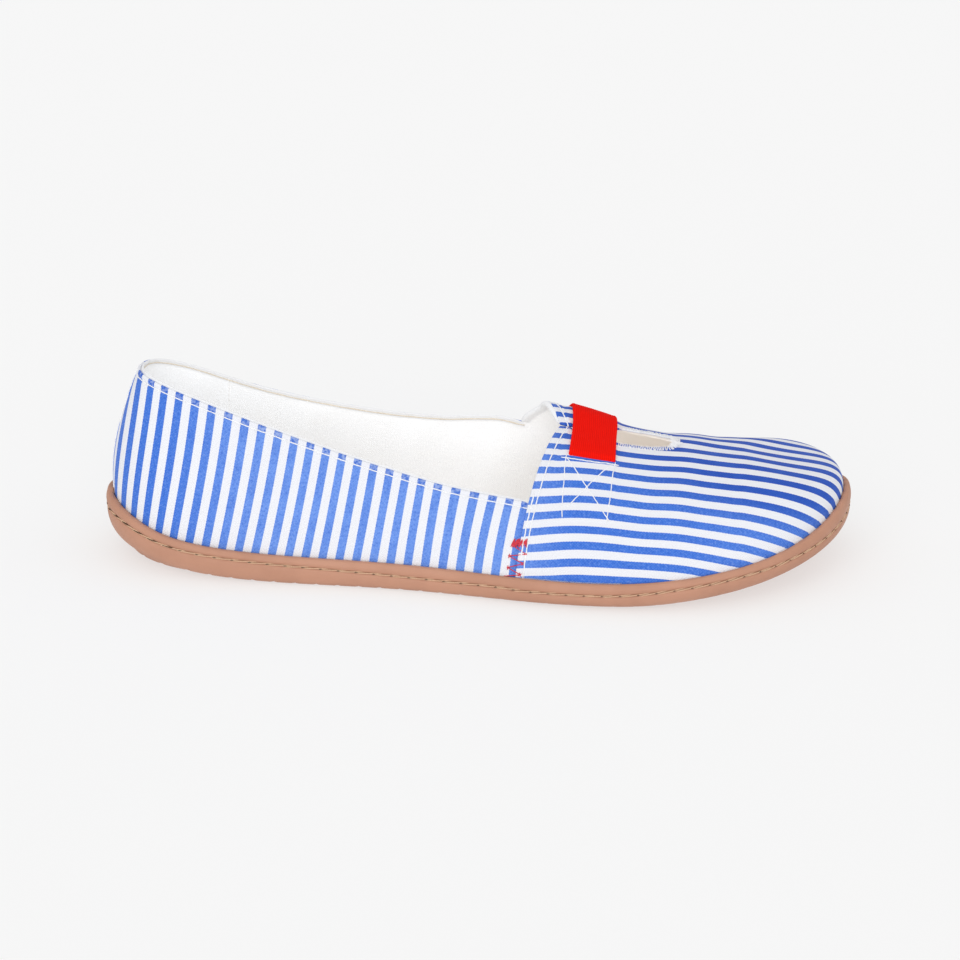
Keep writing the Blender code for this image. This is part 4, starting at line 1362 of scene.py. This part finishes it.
def striped_canvas():
    """Blue and white woven stripes: the blue is painted paler where the front light falls on the quarters'
    sides, and painted deeper as shade over the tops of the vamp and toe and along the topline's hem.
    """
    f = Finish("striped_canvas", BLUE, 0.8, Sheen_Weight=0.08, Sheen_Roughness=0.5, Specular_IOR_Level=0.3)
    uv, u, v = f.cloth()
    slub = f.noise(uv, 9.0, 3.0, 0.6, stretch=(1.0, 0.25, 1.0))
    woven = f.weave(f.calc("ADD", u, f.calc("MULTIPLY", slub, 0.02)), v, THREADS)
    frayed = f.calc("MULTIPLY_ADD", woven, 0.012, u)
    frayed = f.calc("MULTIPLY_ADD", f.noise(uv, 40.0, 1.0), 0.020, frayed)
    from_blue = f.calc("PINGPONG", f.calc("SUBTRACT", frayed, 0.010), 0.5)
    white_part = f.spread(from_blue, 0.232, 0.262)
    parts = f.parts(f.place())
    x, z = parts[0], parts[2]
    # painted light: the blue is made paler along the quarters' sides, where the front light falls
    painted_light_side = f.calc("MULTIPLY", f.spread(x, -0.110, -0.070), f.spread(x, 0.012, 0.036, 1.0, 0.0))
    painted_light_side = f.calc("ADD", painted_light_side, f.spread(x, 0.065, 0.095, 0.0, 0.25))
    # painted shade: the blue is made deeper over the tops of the vamp and toe, which face away from the
    # front light
    toward_top = f.calc("MULTIPLY_ADD", x, 0.25, z)
    deep = f.calc("MULTIPLY", f.spread(toward_top, 0.0460, 0.0590), f.spread(x, 0.018, 0.034))
    blues = f.mix(deep, f.mix(painted_light_side, BLUE, BLUE_PAINTED_LIGHT), BLUE_GRAIN_AND_PAINTED_SHADE)
    # painted shade on the topline's hem: the blue goes greyer and darker within 2.7 mm of the edge
    hem = f.mix(f.spread(f.noise(uv, 5.0, 1.0), 0.42, 0.58), HEM_PAINTED_SHADE, BLUE_GRAIN_AND_PAINTED_SHADE)
    blues = f.mix(f.spread(f.edge(), 2.1, 2.7, 0.5, 0.0), blues, hem)
    patches = f.spread(f.noise(uv, 0.9, 3.0), 0.35, 0.7)
    blues = f.mix(f.calc("MULTIPLY", patches, 0.30), blues, BLUE_SHADE)
    grain = f.noise(uv, 7.0, 2.0, 0.6)
    fleck = f.calc("ADD", f.spread(woven, -0.95, -0.2, 0.14, 0.0), f.spread(grain, 0.50, 0.72, 0.0, 0.18))
    # fewer white flecks where the painted shade lies
    fleck = f.calc("MULTIPLY", fleck, f.calc("MULTIPLY_ADD", deep, -0.85, 1.0))
    blues = f.mix(fleck, blues, FLECK)
    # random darker grain, in the same deep blue as the painted shade
    blues = f.mix(f.spread(grain, 0.30, 0.50, 0.40, 0.0), blues, BLUE_GRAIN_AND_PAINTED_SHADE)
    whites = f.mix(f.spread(woven, -1.0, 0.3, 0.35, 0.0), WHITE, WHITE_SHADE)
    f.drive("Base Color", f.mix(white_part, blues, whites))
    yarn = f.calc("MULTIPLY_ADD", woven, 0.5, f.calc("MULTIPLY", slub, 0.5))
    f.relief(yarn, 0.11, 0.8)
    return f.look


def white_canvas():
    """The lining: painted grey shade on its fold, where the front light falls full on it, and painted warm
    bounce light from the footbed under the vamp.
    """
    f = Finish("white_canvas", WHITE, 0.9, Sheen_Weight=0.1, Sheen_Roughness=0.5, Specular_IOR_Level=0.2)
    uv, u, v = f.cloth()
    woven = f.weave(u, v, LINING_THREADS)
    smudge = f.spread(f.noise(uv, 0.55, 3.0), 0.4, 0.75, 0.0, 0.5)
    base = f.mix(f.spread(woven, -1.0, 0.4, 0.5, 0.0), (0.885, 0.90, 0.925), (0.84, 0.855, 0.88))
    base = f.mix(smudge, base, (0.865, 0.875, 0.89))
    # painted shade: the fold along the lining's free edge is greyed, where the front light falls full on it
    base = f.mix(f.spread(f.edge(), 0.6, 2.0, 1.0, 0.0), base, (0.66, 0.665, 0.68))
    # painted warm bounce light from the footbed: the lining goes warm under the vamp, toward the toe
    ahead = f.spread(f.parts(f.place())[0], 0.035, 0.050)
    f.drive("Base Color", f.mix(ahead, base, (0.96, 0.88, 0.79)))
    # painted glow, which lightens the lining's shade inside the shoe
    f.glow((1.0, 1.0, 1.0), LINING_PAINTED_GLOW)
    f.relief(f.calc("MULTIPLY_ADD", woven, 0.5, f.noise(uv, 14.0, 3.0)), 0.08, 0.7)
    return f.look


def tan_rubber():
    """Moulded rubber: cloudy, faintly grained, scuffed in specks and darker in its lowest two millimetres.
    """
    f = Finish("tan_rubber", (0.475, 0.243, 0.160), 0.55, Specular_IOR_Level=0.35)
    place = f.place()
    height = f.parts(place)[2]
    cloud = f.noise(place, 60.0, 4.0, 0.6)
    tint = f.mix(f.spread(cloud, 0.35, 0.7), (0.500, 0.254, 0.167), (0.452, 0.228, 0.150))
    scuff = f.spread(f.noise(place, 900.0, 2.0, 0.6), 0.62, 0.75, 0.0, 0.35)
    darker_near_ground = f.spread(height, 0.0001, 0.0022, 0.35, 0.0)
    tint = f.mix(f.calc("MAXIMUM", f.calc("MULTIPLY", scuff, 0.3), darker_near_ground), tint, (0.40, 0.212, 0.142))
    f.drive("Base Color", tint)
    f.relief(f.calc("MULTIPLY_ADD", f.noise(place, 2500.0, 2.0), 0.5, cloud), 0.10, 0.35)
    f.drive("Roughness", f.spread(cloud, 0.3, 0.7, 0.50, 0.66))
    return f.look


def footbed_cloth():
    """The footbed's cover: a coarse beige weave with felted flecks."""
    f = Finish("footbed_cloth", (0.86, 0.80, 0.70), 0.95, Sheen_Weight=0.3, Specular_IOR_Level=0.15)
    place = f.place()
    along, across = (f.calc("MULTIPLY", part, 1 / (BED_WEAVE * MM)) for part in f.parts(place)[:2])
    woven = f.weave(along, across, BED_THREADS)
    flecks = f.noise(place, 700.0, 3.0)
    base = f.mix(f.spread(flecks, 0.35, 0.7), (0.91, 0.86, 0.795), (0.83, 0.77, 0.685))
    f.drive("Base Color", f.mix(f.spread(woven, -1, 0.5, 0.4, 0.0), base, (0.75, 0.69, 0.605)))
    f.relief(f.calc("MULTIPLY_ADD", woven, 0.5, flecks), 0.12, 0.8)
    return f.look


def red_elastic():
    """The strap: fine lengthwise ribs and a finer weft."""
    f = Finish("red_elastic", (0.80, 0.008, 0.003), 0.85, Specular_IOR_Level=0.05)
    uv, u, v = f.cloth()
    ribs = f.calc("PINGPONG", u, 0.5)
    base = f.mix(f.spread(ribs, 0.28, 0.48), (0.84, 0.008, 0.003), (0.68, 0.005, 0.002))
    weft = f.calc("SINE", f.calc("MULTIPLY", v, 2 * math.pi / 0.55))
    fleck = f.noise(uv, 8.0, 2.0, 0.5, stretch=(1.0, 2.0, 1.0))
    f.drive("Base Color", f.mix(f.spread(fleck, 0.55, 0.75, 0.0, 0.2), base, (0.90, 0.02, 0.01)))
    f.relief(f.calc("MULTIPLY_ADD", weft, 0.25, fleck), 0.06, 0.6)
    return f.look


def thread(name, colour, dark, roughness=0.7, glow=0.0):
    """A sewing thread of two shades."""
    f = Finish(name, colour, roughness, Specular_IOR_Level=0.3)
    fibre = f.noise(f.place(), 2600.0, 2.0)
    f.glow(colour, glow)
    f.drive("Base Color", f.mix(f.spread(fibre, 0.35, 0.7), colour, dark))
    f.relief(fibre, 0.06, 0.6)
    return f.look


def pale_floor():
    """The plain pale floor, which glows a little so that its shadows stay light."""
    f = Finish("pale_floor", (0.90, 0.90, 0.90), 0.95, Specular_IOR_Level=0.1)
    soft = f.noise(f.place(), 6.0, 2.0)
    f.drive("Base Color", f.mix(f.spread(soft, 0.3, 0.7), FLOOR_PALE, tuple(c * 0.995 for c in FLOOR_PALE)))
    f.glow((1.0, 1.0, 1.0), FLOOR_GLOW)
    return f.look


# ---- the shoe, put together ----------------------------------------------------------------------
STITCHES = stitch_tree()
canvas, lining_cloth, rubber = striped_canvas(), white_canvas(), tan_rubber()
white_thread = thread("white_thread", (0.90, 0.90, 0.90), (0.78, 0.79, 0.82))
red_thread = thread("red_thread", (0.68, 0.050, 0.075), (0.54, 0.025, 0.045), 0.6)
# the lining's thread has the same painted glow as the lining
lining_thread = thread("lining_thread", (0.90, 0.90, 0.90), (0.84, 0.84, 0.85), 0.7, LINING_PAINTED_GLOW)
sole_thread = thread("sole_thread", (0.66, 0.44, 0.29), (0.56, 0.36, 0.23))
# painted shade: dark dots where the thread goes into its needle holes
painted_hole_shade = thread("needle_hole_painted_shade", (0.14, 0.075, 0.045), (0.10, 0.055, 0.035), 0.9)
beige_thread = thread("beige_thread", (0.80, 0.73, 0.62), (0.70, 0.62, 0.51))

net, lining_net = Net(), Net(2.0)
points, faces = cupsole()
make_piece("outsole_rubber", points, faces, rubber, ["outsole"])
points, faces = footbed()
make_piece("insole_footbed", points, faces, footbed_cloth(), ["insole"])
quarter_piece(net, canvas)
vamp_piece(net, canvas)
lining_piece(lining_net, lining_cloth)
strap_piece(red_elastic())

skin = Skin(net, canvas_heights(net))
inside = Skin(net, np.full(net.up.shape, WALL + 0.06), -1)
n, join = net.n, net.join
sides = (False, True)       # outer and inner
round_quarters = range(3 - join, join - 2)
sew("topline_stitches", [skin.along_top(TOP_ROW, round_quarters, 0.06)], white_thread)

hem_columns = (np.arange(join, join + 40), np.arange(n - join, n - join - 40, -1))
hem_rows = np.arange(net.sunk + 2, net.rows - 2)
hems = [skin.up_rib(net.ahead, HEM_ROW, columns, hem_rows, 0.06) for columns in hem_columns]
low_rows = np.arange(net.sunk + 12, net.top + 4)
hems += [skin.up_rib(net.ahead, HEM_EDGE_ROW, columns, low_rows, 0.08) for columns in hem_columns]
sew("vamp_hem_stitches", hems, white_thread)

back_columns = (np.arange(0, 14), np.arange(n, n - 14, -1))
back_rows = np.arange(net.sunk, net.top - 6)
backs = [skin.up_rib(net.round, BACK_ROW, columns, back_rows, 0.05) for columns in back_columns]
sew("back_seam_stitches", backs, white_thread)


def on_vamp(marks, inner, lift=0.10, step=0.5):
    """A line of thread over the vamp through (station, way across) marks."""
    marks = np.array(marks, float)
    run = run_along(marks)
    at = np.linspace(0, run[-1], max(2, int(run[-1] / step)))
    x, g = np.interp(at, run, marks[:, 0]), np.interp(at, run, marks[:, 1])
    where = net.vamp & (net.inner == inner) & (net.up > 0)
    return skin.on_cloth(x, g, (net.points[..., 0], np.abs(net.across)), where, lift)


(x0, x1), (g0, g1) = BOX_X, BOX_G
# The box that holds the strap, a little askew: its two sides, the cross, and its upper end.
box_marks = [
    [(x0, g0), (x0 - 0.4, g1 - 0.6)], [(x1 + 0.6, g0), (x1 - 0.9, g1)],
    [(x0 + 1.2, g0 + 0.5), (x1 - 1.2, g1 - 0.3)], [(x1 - 1.6, g0 + 1.0), (x0 + 2.4, g0 + 17.0)],
    [(x0 + 0.4, g0 - 0.6), (x1, g0 - 0.9)],
]
sew("strap_box_stitches", [on_vamp(marks, inner) for inner in sides for marks in box_marks], white_thread)

station_at = net.points[-1, :, 0]
beside = (station_at > KEYHOLE_FROM) & (station_at <= KEYHOLE_TIP + 0.3) & (net.side <= T_TIP + 1e-6)
keyhole = []
for inner in sides:
    columns = np.nonzero(beside & net.vamp & (net.inner == inner))[0]
    keyhole.append(skin.line(np.full(len(columns), net.rows - 3), columns, 0.05))
sew("keyhole_stitches", keyhole, white_thread)
tip = on_vamp([(KEYHOLE_TIP - 0.8, 0.0), (KEYHOLE_TIP + 1.6, 0.0)], False, 0.15, 0.2)
sew("keyhole_bartack", [tip], white_thread)

near_seam = (net.up > -1.5) & (np.arange(net.rows)[:, None] <= net.top) & (np.abs(net.ahead) < 8)
zigzags, bartacks = [], []
for inner in sides:
    where = near_seam & (net.inner == inner)
    for made, marks, lift in ((zigzags, ZIGZAG, 0.22), (bartacks, BARTACK, 0.30)):
        ahead, up = zip(*marks)
        made.append(skin.on_cloth(ahead, up, (net.ahead, net.up), where, lift))
sew("zigzag_stitches", zigzags, red_thread)
sew("bartack_stitches", bartacks, red_thread)

seam_columns, seam_rows = np.arange(n - 40, n - 110, -1), np.arange(net.sunk + 4, net.top - 3)
lining_seam = inside.up_rib(net.round, LINING_SEAM, seam_columns, seam_rows, 0.03)
sew("lining_seam_stitches", [lining_seam], lining_thread)
sew("topline_edge_cord", [inside.along_top(CORD_ROW, round_quarters, 0.04)], beige_thread)

round_sole = np.arange(0, ROUND, 0.25)
round_heel = np.arange(-HOLES_LONG, HOLES_LONG, 0.25)
# the thread, then painted shade: dark dots at the needle holes and longer dark dashes round the heel
for name, places, shift, look, lift in (
        ("sole_stitches", round_sole, 0.0, sole_thread, 0.0),
        ("sole_needle_hole_shade", round_sole, SOLE_PITCH / 2, painted_hole_shade, 0.04),
        ("heel_groove_shade", round_heel, 1.0, painted_hole_shade, 0.08)):
    t = np.interp(np.mod(places + shift, ROUND), ARC, ARC_T)
    line = around(t, GROOVE_DEEP - THREAD_OUT - lift, stitch_height(t) + 0.05)
    sew(name, [(line, outward(t), places is round_sole)], look)

# ---- floor, light and camera ---------------------------------------------------------------------
FLOOR_SIZE = 8.0        # metres
SKY = 0.70              # the even light from all round
AZIMUTH, ELEVATION, DISTANCE = 4.0, 22.0, 1560.0        # the camera's place, seen from STANDS_ROUND
STANDS_ROUND = (128.0, 0.0, 0.0)
CENTRE_SEEN = (129.0, 0.0, 28.0)        # the point it looks at
LENS, SENSOR = 169.232, 36.0

bpy.ops.mesh.primitive_plane_add(size=FLOOR_SIZE, location=(0, 0, 0))
ground = bpy.context.object
ground.name = "floor"
ground.data.materials.append(pale_floor())

scene = bpy.context.scene
scene.view_settings.view_transform = "Standard"
world = bpy.data.worlds.new("studio")
world.use_nodes = True
world.node_tree.nodes["Background"].inputs["Color"].default_value = (1.0, 1.0, 1.0, 1.0)
world.node_tree.nodes["Background"].inputs["Strength"].default_value = SKY
scene.world = world


def toward(azimuth, elevation):
    """The direction so many degrees round from the outer side to the toe, and so many degrees up."""
    a, e = math.radians(azimuth), math.radians(elevation)
    return math.sin(a) * math.cos(e), -math.cos(a) * math.cos(e), math.sin(e)


def soft_sun(name, azimuth, elevation, strength, spread):
    """A sun as broad as a softbox."""
    lamp = bpy.data.lights.new(name, "SUN")
    lamp.energy = strength
    lamp.angle = math.radians(spread)
    holder = add_object(name, lamp)
    holder.rotation_euler = Vector(toward(azimuth, elevation)).to_track_quat("Z", "Y").to_euler()


soft_sun("front_softbox", -8, 20, 1.35, 60)
soft_sun("top_fill", 60, 75, 0.3, 80)

back = np.array(toward(AZIMUTH, ELEVATION))
stand_at = (np.array(STANDS_ROUND) + back * DISTANCE - CENTRE) * MM
aim = (np.array(CENTRE_SEEN) - CENTRE) * MM
lens = bpy.data.cameras.new("camera")
lens.sensor_width = SENSOR
lens.lens = LENS
camera = add_object("camera", lens)
camera.location = stand_at
camera.rotation_euler = Vector(aim - stand_at).to_track_quat("-Z", "Y").to_euler()
scene.camera = camera
